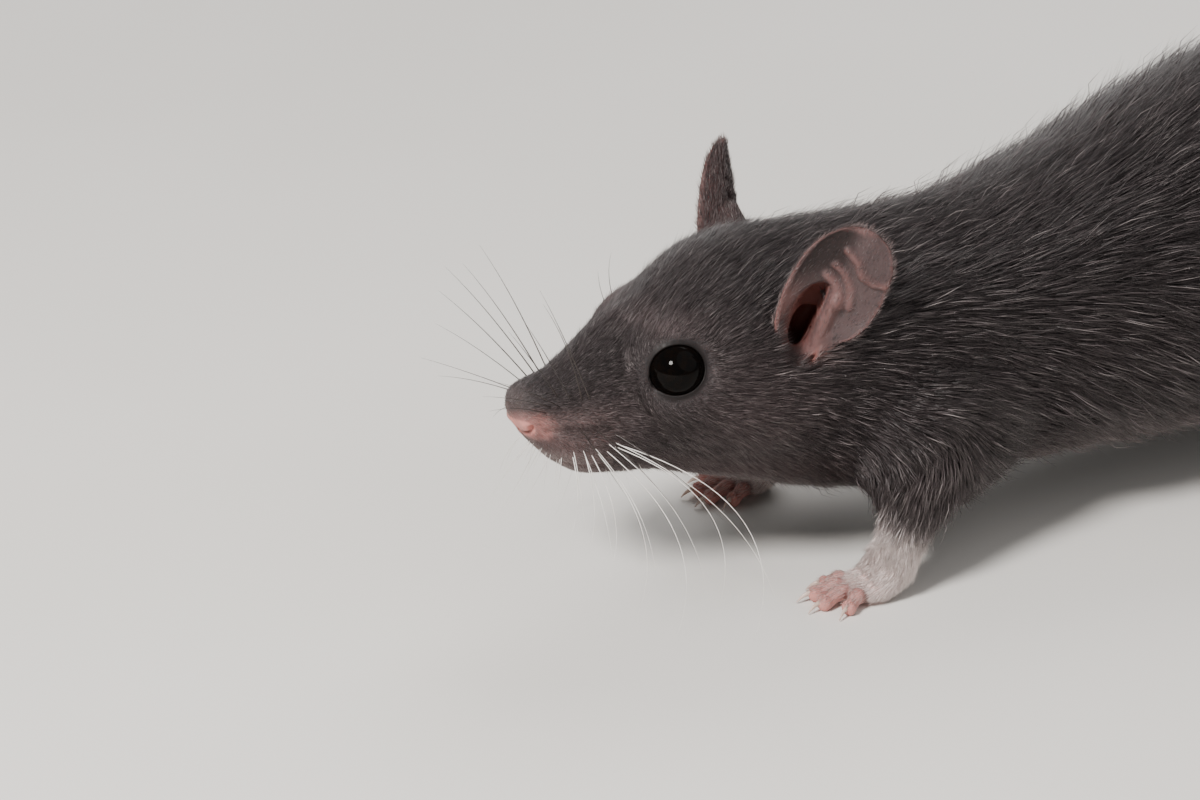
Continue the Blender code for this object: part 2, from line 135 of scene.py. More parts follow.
def through_points(points: Array, at: Array) -> Array:
    """Read a smooth path through rows of points (Catmull-Rom); at counts rows from 0."""
    points = np.asarray(points, float)
    padded = np.vstack([2 * points[0] - points[1], points, 2 * points[-1] - points[-2]])
    i = np.clip(np.floor(at).astype(int), 0, len(points) - 2)
    t = (np.asarray(at, float) - i)[:, None]
    p0, p1, p2, p3 = (padded[i + k] for k in range(4))
    return 0.5 * (
        2 * p1
        + (p2 - p0) * t
        + (2 * p0 - 5 * p1 + 4 * p2 - p3) * t**2
        + (3 * p1 - p0 - 3 * p2 + p3) * t**3
    )


def unit(vectors: Array) -> Array:
    """Scale vectors to length one."""
    return vectors / np.maximum(np.linalg.norm(vectors, axis=-1, keepdims=True), 1e-12)


def dot(first: Array, second: Array) -> Array:
    """Inner product along the last axis, which is kept."""
    return np.sum(first * second, axis=-1, keepdims=True)


def ramp(values: Array, low: float, high: float) -> Array:
    """Smooth step from 0 at low to 1 at high, which may be the smaller of the two."""
    t = np.clip((values - low) / (high - low), 0, 1)
    return t * t * (3 - 2 * t)


def bell(values: Array, centre: float, width: float) -> Array:
    """A bell curve of height one: exp of minus the square of the distance over the width."""
    return np.exp(-(((values - centre) / width) ** 2))


def rounded(values: Array, power: Array) -> Array:
    """Signed power that turns a circle into a fuller or slimmer oval (2 keeps the circle)."""
    return np.sign(values) * np.abs(values) ** (2 / power)


def waves(points: Array, length: float, seed: int) -> Array:
    """Smooth unevenness in space: the mean of seven sine waves in scattered directions.

    Args:
        points: Places, in millimetres.
        length: About how far apart the crests are.
        seed: Chooses the directions and phases.

    Returns:
        Values from about -1 to 1, one for each point.
    """
    draw = np.random.default_rng(seed)
    heading = unit(draw.normal(size=(7, 3))) * draw.uniform(0.7, 1.5, (7, 1))
    phase = draw.uniform(0, 2 * math.pi, 7)
    return np.sin(points @ heading.T * (2 * math.pi / length) + phase).sum(axis=-1) / 3.2


def distance_to_line(points: Array, line: Array) -> Array:
    """Distance from points to a chain of straight stretches, in as many measures as they have."""
    nearest = np.full(points.shape[:-1], np.inf)
    for start, end in zip(line[:-1], line[1:]):
        along = np.asarray(end) - start
        t = np.clip(((points - start) @ along) / (along @ along), 0, 1)
        nearest = np.minimum(nearest, np.linalg.norm(points - start - t[..., None] * along, axis=-1))
    return nearest


# --- The backbone that everything is placed by ---


@dataclass(frozen=True)
class Backbone:
    """The line from the nose tip to past the tail tip, bent sideways and rolled at the head."""

    bend_at: tuple = (0, 30, 58, 100, RUMP)
    bend: tuple = (7, 7, 1, -1, -5)
    roll_at: tuple = (0, 26, 56, RUMP)
    roll: tuple = (6, 6, 0, 0)
    length: float = 259.0

    def place(self, at: Array) -> tuple[Array, Array, Array, Array]:
        """Find the centre line and its axes.

        The bend angle is summed up along the line, which gives the centre; the head's own left
        and up directions are then turned about the line by the roll.

        Args:
            at: Distances behind the nose tip.

        Returns:
            Centre, and the unit directions back, left and up, at each distance.
        """
        at = np.asarray(at, float)
        marks = np.linspace(0, self.length, 600)
        bend = np.radians(smooth_curve(self.bend_at, self.bend, marks))
        along = np.stack([np.sin(bend), np.cos(bend)], axis=1) * (marks[1] - marks[0])
        line = np.cumsum(along, axis=0) - along
        flat = [np.interp(at, marks, line[:, k]) for k in (0, 1)]
        centre = np.stack([*flat, np.full_like(at, NOSE_HEIGHT)], axis=-1)
        bend = np.radians(smooth_curve(self.bend_at, self.bend, at))
        roll = np.radians(smooth_curve(self.roll_at, self.roll, at))[..., None]
        back = np.stack([np.sin(bend), np.cos(bend), np.zeros_like(bend)], axis=-1)
        level_left = np.stack([np.cos(bend), -np.sin(bend), np.zeros_like(bend)], axis=-1)
        left = np.cos(roll) * level_left + np.sin(roll) * UPRIGHT
        up = np.cos(roll) * UPRIGHT - np.sin(roll) * level_left
        return centre, back, left, up

    def inside(self, behind: Array, out: Array, height: Array) -> Array:
        """Points from measures along, across and above (over the floor) the backbone."""
        centre, _, left, up = self.place(behind)
        return centre + out[..., None] * left + (height - NOSE_HEIGHT)[..., None] * up

    def beside(self, rows: Array) -> Array:
        """Points from rows of (behind the nose, level out to the left, over the floor)."""
        rows = np.asarray(rows, float)
        centre, back, _, _ = self.place(rows[..., 0])
        level_left = np.stack([back[..., 1], -back[..., 0], np.zeros(rows.shape[:-1])], axis=-1)
        points = centre + rows[..., 1:2] * level_left
        points[..., 2] = rows[..., 2]
        return points

    def head_direction(self, measures: Array) -> Array:
        """Direction from parts (back, left, up) in the head's own axes."""
        _, back, left, up = self.place(0)
        return np.asarray(measures, float) @ np.stack([back, left, up])

    def head_point(self, measures: Array) -> Array:
        """Point from (behind the nose, out to the left, over the nose) in the head's own axes."""
        return self.place(0)[0] + self.head_direction(measures)

    def head_measures(self, points: Array) -> Array:
        """The head's own measures of points: behind the nose tip, out to the left, over the nose."""
        centre, back, left, up = self.place(0)
        return (points - centre) @ np.stack([back, left, up], axis=1)


SPINE = Backbone()


# --- Forms: closed shapes with what the skin and the coat need to know at each point ---


@dataclass(frozen=True)
class Patch:
    """The place of a part on the unwrap of the skin, as shares of its side."""

    across: float
    up: float
    width: float
    height: float


@dataclass
class Traits:
    """What the skin carries from point to point, each as an array with a value for each point.

    Attributes:
        flow: Direction in which the hair lies.
        length: Length of the hair.
        density: Hairs on each square millimetre.
        pale, white, pink, dark: Shares of the coat's and the skin's markings; dark is the lids' dark rims and
            also painted shade in the nostrils, a crease behind the nose, the ears' hollows and canals and the
            eye sockets.
    """

    flow: Array
    length: Array
    density: Array
    pale: Array
    white: Array
    pink: Array
    dark: Array

    NAMES = ("flow", "length", "density", "pale", "white", "pink", "dark")


Amount = Array | float
Input = Socket | float | tuple
MARKS = ("pale", "white", "pink", "dark")


def traits(
    grid: Array,
    flow: Array,
    length: Amount,
    density: Amount,
    pale: Amount = 0,
    white: Amount = 0,
    pink: Amount = 0,
    dark: Amount = 0,
) -> Traits:
    """Spread each trait over every point of a grid.

    Args:
        grid: The points.
        flow: Direction of the hair, which is made a unit long, for all points or for each.
        length, density, pale, white, pink, dark: As in Traits, in the same way.

    Returns:
        The traits, each as an array of the grid's shape.
    """
    amounts = (length, density, pale, white, pink, dark)
    rest = (np.broadcast_to(each, grid.shape[:-1]).copy() for each in amounts)
    return Traits(unit(np.broadcast_to(flow, grid.shape)), *rest)


@dataclass
class Form:
    """A closed mesh of triangles with its unwrap and its traits."""

    part: Part
    points: Array
    triangles: Array
    unwrap: Array
    traits: Traits

    def outward(self) -> Form:
        """Turn the faces outwards if they enclose a negative volume."""
        a, b, c = (self.points[self.triangles[:, k]] for k in range(3))
        if np.sum(np.cross(a, b) * c) < 0:
            self.triangles = self.triangles[:, ::-1]
            self.unwrap = self.unwrap[:, ::-1]
        return self


def loft(part: Part, rings: Array, patch: Patch, given: Traits) -> Form:
    """Close a solid over rings of points, with a fan of triangles at each end.

    Args:
        part: Which part of the body it is.
        rings: Points, as (rings, points in a ring, 3).
        patch: Its place on the unwrap: the rings go across it and a ring goes up it.
        given: Traits on the same grid.

    Returns:
        The closed form, facing out.
    """
    count, sides = rings.shape[:2]
    row, column = np.meshgrid(np.arange(count - 1), np.arange(sides), indexing="ij")
    corner = [(row, column), (row, column + 1), (row + 1, column + 1), (row + 1, column)]
    vertex = [r * sides + c % sides for r, c in corner]
    place = [
        np.stack([patch.across + patch.width * r / (count - 1), patch.up + patch.height * c / sides], -1)
        for r, c in corner
    ]
    pick = ((0, 1, 2), (0, 2, 3))
    triangles = np.concatenate([np.stack([vertex[k] for k in p], -1).reshape(-1, 3) for p in pick])
    unwrap = np.concatenate([np.stack([place[k] for k in p], -2).reshape(-1, 3, 2) for p in pick])
    around = np.arange(sides)
    for end, middle, across in ((0, count * sides, 0), (count - 1, count * sides + 1, 1)):
        fan = np.stack([np.full(sides, middle), end * sides + around, end * sides + (around + 1) % sides], -1)
        x = patch.across + patch.width * across
        turned = np.stack([np.full(sides, 0.5), around / sides, (around + 1) / sides], -1)
        y = patch.up + patch.height * turned
        flat = np.stack([np.full_like(y, x), y], -1)
        turn = slice(None, None, 1 if end else -1)
        triangles = np.concatenate([triangles, fan[:, turn]])
        unwrap = np.concatenate([unwrap, flat[:, turn]])

    def with_ends(grid: Array) -> Array:
        ends = grid[[0, -1]].mean(axis=1)
        return np.concatenate([grid.reshape(count * sides, *grid.shape[2:]), ends])

    carried = Traits(*(with_ends(getattr(given, name)) for name in Traits.NAMES))
    return Form(part, with_ends(rings), triangles, unwrap, carried).outward()


def plain(rings: Array) -> Form:
    """A closed form over rings that grows no hair."""
    return loft(Part.TOE, rings, Patch(0, 0, 1, 1), traits(rings, rings, 0, 0))


def together(forms: list[Form]) -> tuple[Array, Array]:
    """Points and triangles of several forms as one mesh."""
    starts = np.cumsum([0] + [len(form.points) for form in forms[:-1]])
    triangles = [form.triangles + start for form, start in zip(forms, starts)]
    return np.concatenate([form.points for form in forms]), np.concatenate(triangles)


def ring_normals(rings: Array) -> Array:
    """Outward normals of a grid of rings: the cross product of its two directions."""
    down = np.gradient(rings, axis=0)
    around = 0.5 * (np.roll(rings, -1, axis=1) - np.roll(rings, 1, axis=1))
    normal = unit(np.cross(down, around))
    outward = rings - rings.mean(axis=1, keepdims=True)
    return normal * np.sign(np.sum(normal * outward))


def tube_rings(path: Array, half_sizes: Array, side: Array, sides: int, at: Array) -> Array:
    """Oval outlines square to a path.

    Args:
        path: Points that the path goes through.
        half_sizes: Half-width along side and half-depth across it, at each point of the path.
        side: Direction of the width.
        sides: Points in an outline.
        at: Where the outlines lie, counted in rows of the path.

    Returns:
        Points, as (outlines, sides, 3).
    """
    centre = through_points(path, at)
    sizes = np.maximum(through_points(half_sizes, at), 0.05)
    last = len(path) - 1
    nudge = 0.01
    ahead = through_points(path, np.minimum(at + nudge, last))
    behind = through_points(path, np.maximum(at - nudge, 0))
    along = unit(ahead - behind)
    side = np.asarray(side, float)
    width = unit(side - (along @ side)[:, None] * along)
    depth = np.cross(along, width)
    angle = np.arange(sides) * 2 * math.pi / sides
    return (
        centre[:, None]
        + np.cos(angle)[None, :, None] * (sizes[:, :1] * width)[:, None]
        + np.sin(angle)[None, :, None] * (sizes[:, 1:] * depth)[:, None]
    )


def linked(name: str, data: bpy.types.ID) -> Piece:
    """A new object in the scene that holds this mesh, light or camera."""
    made = bpy.data.objects.new(name, data)
    bpy.context.scene.collection.objects.link(made)
    return made


def write_mesh(
    name: str,
    points: Array,
    triangles: Array,
    material: Material | None = None,
    unwrap: Array | None = None,
    unwrap_name: str = "Wrap",
    values: dict[str, Array] | None = None,
) -> Piece:
    """Make a smooth-shaded object from triangles.

    Args:
        name: Name of the piece.
        points: Corners in millimetres.
        triangles: Corner numbers, three for each triangle.
        material: Its finish.
        unwrap: Places on its unwrap, as (triangles, 3, 2).
        unwrap_name: Name of that map.
        values: Attributes for each point, plain numbers or vectors.

    Returns:
        The object, at the origin, with its place in its mesh.
    """
    mesh = bpy.data.meshes.new(name)
    mesh.vertices.add(len(points))
    mesh.vertices.foreach_set("co", ((points - MIDDLE) * MM).astype(np.float32).ravel())
    mesh.loops.add(triangles.size)
    mesh.loops.foreach_set("vertex_index", triangles.astype(np.int32).ravel())
    mesh.polygons.add(len(triangles))
    mesh.polygons.foreach_set("loop_start", np.arange(0, triangles.size, 3, dtype=np.int32))
    mesh.update(calc_edges=True)
    if unwrap is not None:
        layer = mesh.uv_layers.new(name=unwrap_name)
        layer.uv.foreach_set("vector", unwrap.astype(np.float32).ravel())
    for label, array in (values or {}).items():
        kind, slot = ("FLOAT_VECTOR", "vector") if array.ndim > 1 else ("FLOAT", "value")
        made = mesh.attributes.new(label, kind, "POINT")
        made.data.foreach_set(slot, array.astype(np.float32).ravel())
    mesh.shade_smooth()
    if material:
        mesh.materials.append(material)
    return linked(name, mesh)


def cutter_or_graft(form: Form) -> Piece:
    """An object from a form, with its traits and its part number, for a Boolean."""
    values = {name: getattr(form.traits, name) for name in Traits.NAMES}
    name = form.part.name.lower()
    made = write_mesh(name, form.points, form.triangles, None, form.unwrap, values=values)
    number = made.data.attributes.new("face_part", "INT", "FACE")
    number.data.foreach_set("value", np.full(len(form.triangles), int(form.part), np.int32))
    return made


# --- Head and trunk ---


@dataclass(frozen=True)
class Swelling:
    """A soft bump or hollow on both sides of the head, seen from the side."""

    behind: float
    over: float
    reach_back: float
    reach_up: float
    height: float


@dataclass(frozen=True)
class Crease:
    """A groove on both sides of the head, along points of (behind the nose, over the nose)."""

    line: tuple
    width: float
    depth: float


@dataclass(frozen=True)
class Eye:
    """The eye: its ball, its place in the head, and the rim of its lids."""

    radius: float = 2.9
    place: tuple = (15.8, 6.6, 2.7)
    looks: tuple = (-0.38, 0.90, 0.22)
    opening: float = 1.20
    widening: float = 0.10
    rim_radius: float = 0.17

    def centre(self, side: int) -> Array:
        """Centre of the ball on one side (1 left, -1 right)."""
        return SPINE.head_point(np.array(self.place) * (1, side, 1))

    def axis(self, side: int) -> Array:
        """Direction that the eye looks in."""
        return unit(SPINE.head_direction(np.array(self.looks) * (1, side, 1)))

    def around(self, side: int) -> tuple[Array, Array]:
        """Two directions across the axis: forwards along the face, and up."""
        axis = self.axis(side)
        ahead = unit(SPINE.head_direction((-1, 0, -0.12)))
        ahead = unit(ahead - (ahead @ axis) * axis)
        up = np.cross(axis, ahead)
        return ahead, up * np.sign(up[2])

    def from_axis(self, points: Array, side: int) -> tuple[Array, Array]:
        """Height of points over the eye's centre along its axis, and distance from that axis."""
        from_centre = points - self.centre(side)
        level = from_centre @ self.axis(side)
        return level, np.linalg.norm(from_centre - level[..., None] * self.axis(side), axis=-1)

    def rim_level(self, points: Array, side: int) -> Array:
        """Height of the lids' rim on the way from the axis to each point: lower at the corners."""
        ahead, up = self.around(side)
        from_centre = points - self.centre(side)
        x, y = from_centre @ ahead, from_centre @ up
        level_turn = (x**2 - y**2) / np.maximum(x**2 + y**2, 1e-6)
        return (self.radius + 0.13) * np.cos(self.opening + self.widening * level_turn)


@dataclass
class Torso:
    """Head, neck and trunk as one surface, from the nose tip to round the tail's root."""

    eye: Eye
    sides: int = 150
    # Behind the nose tip, height of the back and the underside, half-width, height of the widest
    # level, and the fullness above and below it (2: ellipse).
    sections: tuple = (
        (0, 22.9, 21.9, 0.4, 22.5, 2, 2),
        (1, 24.1, 19.9, 2.2, 22, 2.2, 2.2),
        (2.5, 24.7, 17.9, 3.1, 21.3, 2.2, 2.2),
        (4.5, 25.3, 15.9, 4.4, 20.1, 2, 2.3),
        (7, 26.8, 14.6, 5.6, 19.3, 1.9, 2.4),
        (10, 29, 13.9, 6.6, 19.5, 1.85, 2.3),
        (14, 31.2, 13.3, 8.2, 21.5, 1.9, 2.1),
        (18, 33.5, 12.3, 9.9, 22, 2, 2.1),
        (22, 35.4, 11.2, 11.3, 22, 2.1, 2.1),
        (26, 36.2, 10, 12, 22, 2.1, 2.1),
        (36, 35.9, 6.9, 12.6, 21.5, 2.1, 2.1),
        (50, 35.5, 5.9, 14.6, 20, 2.1, 2.2),
        (64, 37.6, 6.2, 16.6, 20, 2.1, 2.3),
        (82, 42.6, 5.8, 19, 20, 2.1, 2.4),
        (98, 44.8, 5.8, 20.6, 20.5, 2.1, 2.4),
        (112, 44, 6.2, 20.8, 21, 2, 2.3),
        (126, 38.6, 7.2, 17.6, 20, 2, 2.1),
        (136, 31.4, 8.2, 12.8, 18.5, 2, 2),
        (142, 25.4, 8.6, 8.8, 16.8, 2, 2),
        (147, 19.6, 7.8, 5.7, 13.9, 2, 2),
        (TRUNK_END, 14, 8, 3.3, 11, 2, 2),
    )
    # Distances behind the nose tip, and what the coat is like there.
    marks: tuple = (0, 2, 4, 8, 12, 18, 26, 33, 46, 70, 110, 138, TRUNK_END)
    coat_depth: tuple = (0, 0.03, 0.1, 0.22, 0.32, 0.4, 0.5, 0.65, 0.95, 1.2, 1.3, 1.15, 0.6)
    hair_length: tuple = (0.45, 0.65, 0.85, 1.25, 1.7, 2.2, 2.8, 3.5, 4.8, 6.2, 7, 6, 3)
    hair_density: tuple = (66, 76, 78, 70, 60, 50, 38, 29, 20, 13, 9, 10, 17)
    swellings: tuple = (
        Swelling(0.8, -1.85, 0.85, 0.6, 0.30),
        Swelling(1.1, -3.4, 0.8, 0.28, 0.26),
        Swelling(6, -4.2, 3.1, 1.7, 0.62),
        Swelling(6.2, -1.5, 2.4, 0.55, 0.26),
        Swelling(4.2, 0.9, 3.2, 1.1, 0.14),
        Swelling(9.6, -1.8, 1.5, 2.6, -0.22),
        Swelling(15, 7, 4.2, 1.3, 0.30),
        Swelling(16.5, -1.6, 4.4, 1.2, 0.16),
        Swelling(23.5, -5, 5.5, 3.8, 0.55),
        Swelling(24.5, 2, 3.6, 2.8, -0.35),
    )
    creases: tuple = (
        Crease(((0.45, -2.75), (0.9, -2.92), (1.4, -2.80), (1.62, -2.40), (1.5, -1.9)), 0.17, 0.62),
        Crease(((3, -2.5), (5.4, -2.25), (8.6, -2.5)), 0.38, 0.24),
        Crease(((1.2, -4.4), (3, -5.7), (5.4, -6.5), (8.2, -6.6)), 0.30, 0.42),
        Crease(((21.5, 0.8), (25.5, 2.2), (28, 4)), 0.7, 0.16),
    )

    def ring_places(self) -> Array:
        """Distances of the rings: close together at the nose, then wider apart."""
        return np.concatenate([
            np.linspace(0, 3, 26)[:-1],
            np.linspace(3, HEAD_END, 118)[:-1],
            np.linspace(HEAD_END, TRUNK_END, 136),
        ])

    def section(self, at: Array) -> list[Array]:
        """The sections' measures at distances behind the nose tip, each as a column."""
        behind, *measures = np.transpose(self.sections)
        return [smooth_curve(behind, values, at)[:, None] for values in measures]

    def outline(self, at: Array, inset: Array) -> Array:
        """Oval outlines from the sections.

        Across is the half-width times the cosine, and up is the reach above or below the widest
        level times the sine, each raised to the power that gives the section's fullness.

        Args:
            at: Distances behind the nose tip.
            inset: How far each outline lies inside the coat's outer face.

        Returns:
            Points, as (distances, sides, 3).
        """
        top, under, half, widest, full_up, full_down = self.section(at)
        angle = np.arange(self.sides) * 2 * math.pi / self.sides
        across, rise = np.cos(angle)[None], np.sin(angle)[None]
        power = np.where(rise > 0, full_up, full_down)
        inset = inset[:, None]
        reach = np.where(rise > 0, top - inset - widest, widest - under - inset)
        out = (half - inset) * rounded(across, power)
        height = widest + reach * rounded(rise, power)
        return SPINE.inside(np.broadcast_to(at[:, None], out.shape), out, height)

    def features(self, rings: Array) -> Array:
        """Raise the swellings, press in the creases and fit the face round the eyes.

        Each swelling adds a two-way bell curve along the normal, and each crease takes away a bell
        curve of the distance from its line, both as seen from the side.

        Args:
            rings: The plain outlines.

        Returns:
            The same grid with the features on it.
        """
        measures = SPINE.head_measures(rings)
        behind, out, over = measures[..., 0], measures[..., 1], measures[..., 2]
        normal = ring_normals(rings)
        sideways = np.abs(normal @ SPINE.head_direction((0, 1, 0)))
        seen = ramp(sideways, 0.1, 0.55) * (behind < HEAD_END + 12)
        push = np.zeros_like(behind)
        for bump in self.swellings:
            shape = bell(behind, bump.behind, bump.reach_back) * bell(over, bump.over, bump.reach_up)
            push += bump.height * shape * seen
        for crease in self.creases:
            away = distance_to_line(measures[..., [0, 2]], np.array(crease.line))
            push -= crease.depth * np.exp(-((away / crease.width) ** 2)) * seen
        cleft = np.exp(-((out / 0.22) ** 2)) * ramp(over, -0.9, -1.6) * ramp(over, -6.2, -5.2)
        push -= 0.4 * cleft * ramp(behind, 6, 3)
        chin = np.exp(-((out / 1.9) ** 2)) * bell(behind, 8, 2.6) * ramp(over, -3, -7)
        push += 0.5 * chin
        rings = rings + push[..., None] * normal
        for side in SIDES.values():
            axis = self.eye.axis(side)
            level, away = self.eye.from_axis(rings, side)
            near = (1 - ramp(away, 3.1, 5.8)) * (level > -1.5)
            wanted = self.eye.rim_level(rings, side) + 0.10 * (away - 2.9)
            rings = rings + (near * (wanted - level))[..., None] * axis
        return rings

    def coat(self, rings: Array, at: Array, ears: list[Ear]) -> Traits:
        """Work out how the hair lies, its length and density, and the markings, with painted shade in the
        nostrils and along the crease behind the nose.

        The hair lies back, climbs or falls towards the ridge of the back, and parts round the eyes.

        Args:
            rings: The surface's outlines.
            at: Their distances behind the nose tip.
            ears: The left ear and the right one; the coat thins in their hollows.

        Returns:
            The traits on the rings' grid.
        """
        measures = SPINE.head_measures(rings)
        out, over = measures[..., 1], measures[..., 2]
        behind = np.broadcast_to(at[:, None], out.shape)
        centre, back, left, up = SPINE.place(at)
        normal = ring_normals(rings)
        height = np.sum((rings - centre[:, None]) * up[:, None], axis=-1)
        beside = np.sum((rings - centre[:, None]) * left[:, None], axis=-1)
        top, under = self.section(at)[:2]
        share_up = (height + NOSE_HEIGHT - under) / (top - under)
        upward = up[:, None] - dot(up[:, None], normal) * normal
        head = 1 - ramp(behind, 28, 44)
        climb = head * (0.55 * ramp(over, 2, 7) - 0.42 * ramp(over, 1, -6))
        climb = climb - (1 - head) * 0.42 * ramp(share_up, 0.95, 0.5)
        climb = climb - 0.5 * ramp(behind, 134, 148)
        side_of = np.sign(beside)[..., None] * left[:, None]
        outward = 0.12 * (head * ramp(over, 3, 9))[..., None]
        flow = back[:, None] + climb[..., None] * upward + outward * side_of
        length = smooth_curve(self.marks, self.hair_length, behind)
        length = length * (0.75 + 0.25 * ramp(share_up, 0.1, 0.5))
        density = smooth_curve(self.marks, self.hair_density, behind)
        under_side = ramp(share_up, 0.34, 0.1)
        muzzle = ramp(behind, 11, 7) * ramp(over, 0.6, -1.2)
        from_pad = np.hypot((behind - 0.8) / 1.15, (over + 2.35) / 1.15)
        pad = ramp(from_pad, 1.15, 0.85)
        flush = ramp(np.hypot((behind - 1.6) / 2.3, (over + 2) / 1.8), 1.3, 0.4)
        pink = np.max([0.10 * muzzle, 0.9 * pad, 0.55 * flush], axis=0)
        density = density * (1 - 0.93 * pad)
        length = length * (1 - 0.3 * muzzle)
        ridge = bell(behind, 6.2, 2.6) * bell(over, -1.5, 0.6)
        patches = [
            0.55 * under_side * ramp(behind, 0, 12),
            0.62 * bell(behind, 21.5, 6.5) * bell(over, -1.5, 5.5),
            0.55 * bell(behind, 8.5, 5) * bell(over, -2, 3.6),
            0.8 * bell(behind, 14.8, 3.2) * bell(over, 6.9, 1.1),
            0.42 * muzzle,
            0.8 * ridge,
        ]
        pale = np.max(patches, axis=0)
        white = 0.18 * ramp(over, -3.9, -5.6) * ramp(behind, 9.5, 5)
        white = np.maximum(white, 0.08 * ramp(behind, 3, 0.4))
        # Painted shade: dark in the nostril and, fainter, along the crease that runs back from the nose.
        dark = 0.8 * bell(np.hypot(behind - 1.3, (over + 2.8) * 1.6), 0, 0.42)
        dark = np.maximum(dark, 0.3 * bell(behind, 6.5, 3) * bell(over, -2.5, 0.45))
        for side in SIDES.values():
            level, away = self.eye.from_axis(rings, side)
            close = ramp(away, 7, 3.2) * (level > -1.5)
            outward = rings - self.eye.centre(side)
            outward = unit(outward - dot(outward, normal) * normal)
            inflow = np.minimum(dot(flow, outward), 0)
            flow = flow + close[..., None] * (0.45 - inflow) * outward
            length = length * (1 - 0.62 * ramp(away, 5.6, 3.1) * (level > -1.5))
            density = density * (1 + 0.5 * close)
            dark = np.maximum(dark, 0.8 * ramp(away, 3.4, 2.95) * (level > -1.5))
            ear = ears[0] if side > 0 else ears[1]
            inside = ear.cup_share(rings)
            density = density * (1 - 0.7 * inside)
            pink = np.maximum(pink, 0.15 * inside)
        return traits(rings, flow, length, density, pale, white, pink, dark)

    def form(self, ears: list[Ear]) -> Form:
        """The whole surface, inside the coat's outline by the coat's depth."""
        at = self.ring_places()
        rings = self.outline(at, smooth_curve(self.marks, self.coat_depth, at))
        rings = self.features(rings)
        return loft(Part.BODY, rings, Patch(0.01, 0.01, 0.44, 0.33), self.coat(rings, at, ears))


# --- Ears ---


@dataclass(frozen=True)
class Fold:
    """A ridge inside the ear, along points of (up the ear, across it) in millimetres."""

    line: tuple
    height: float
    width: float


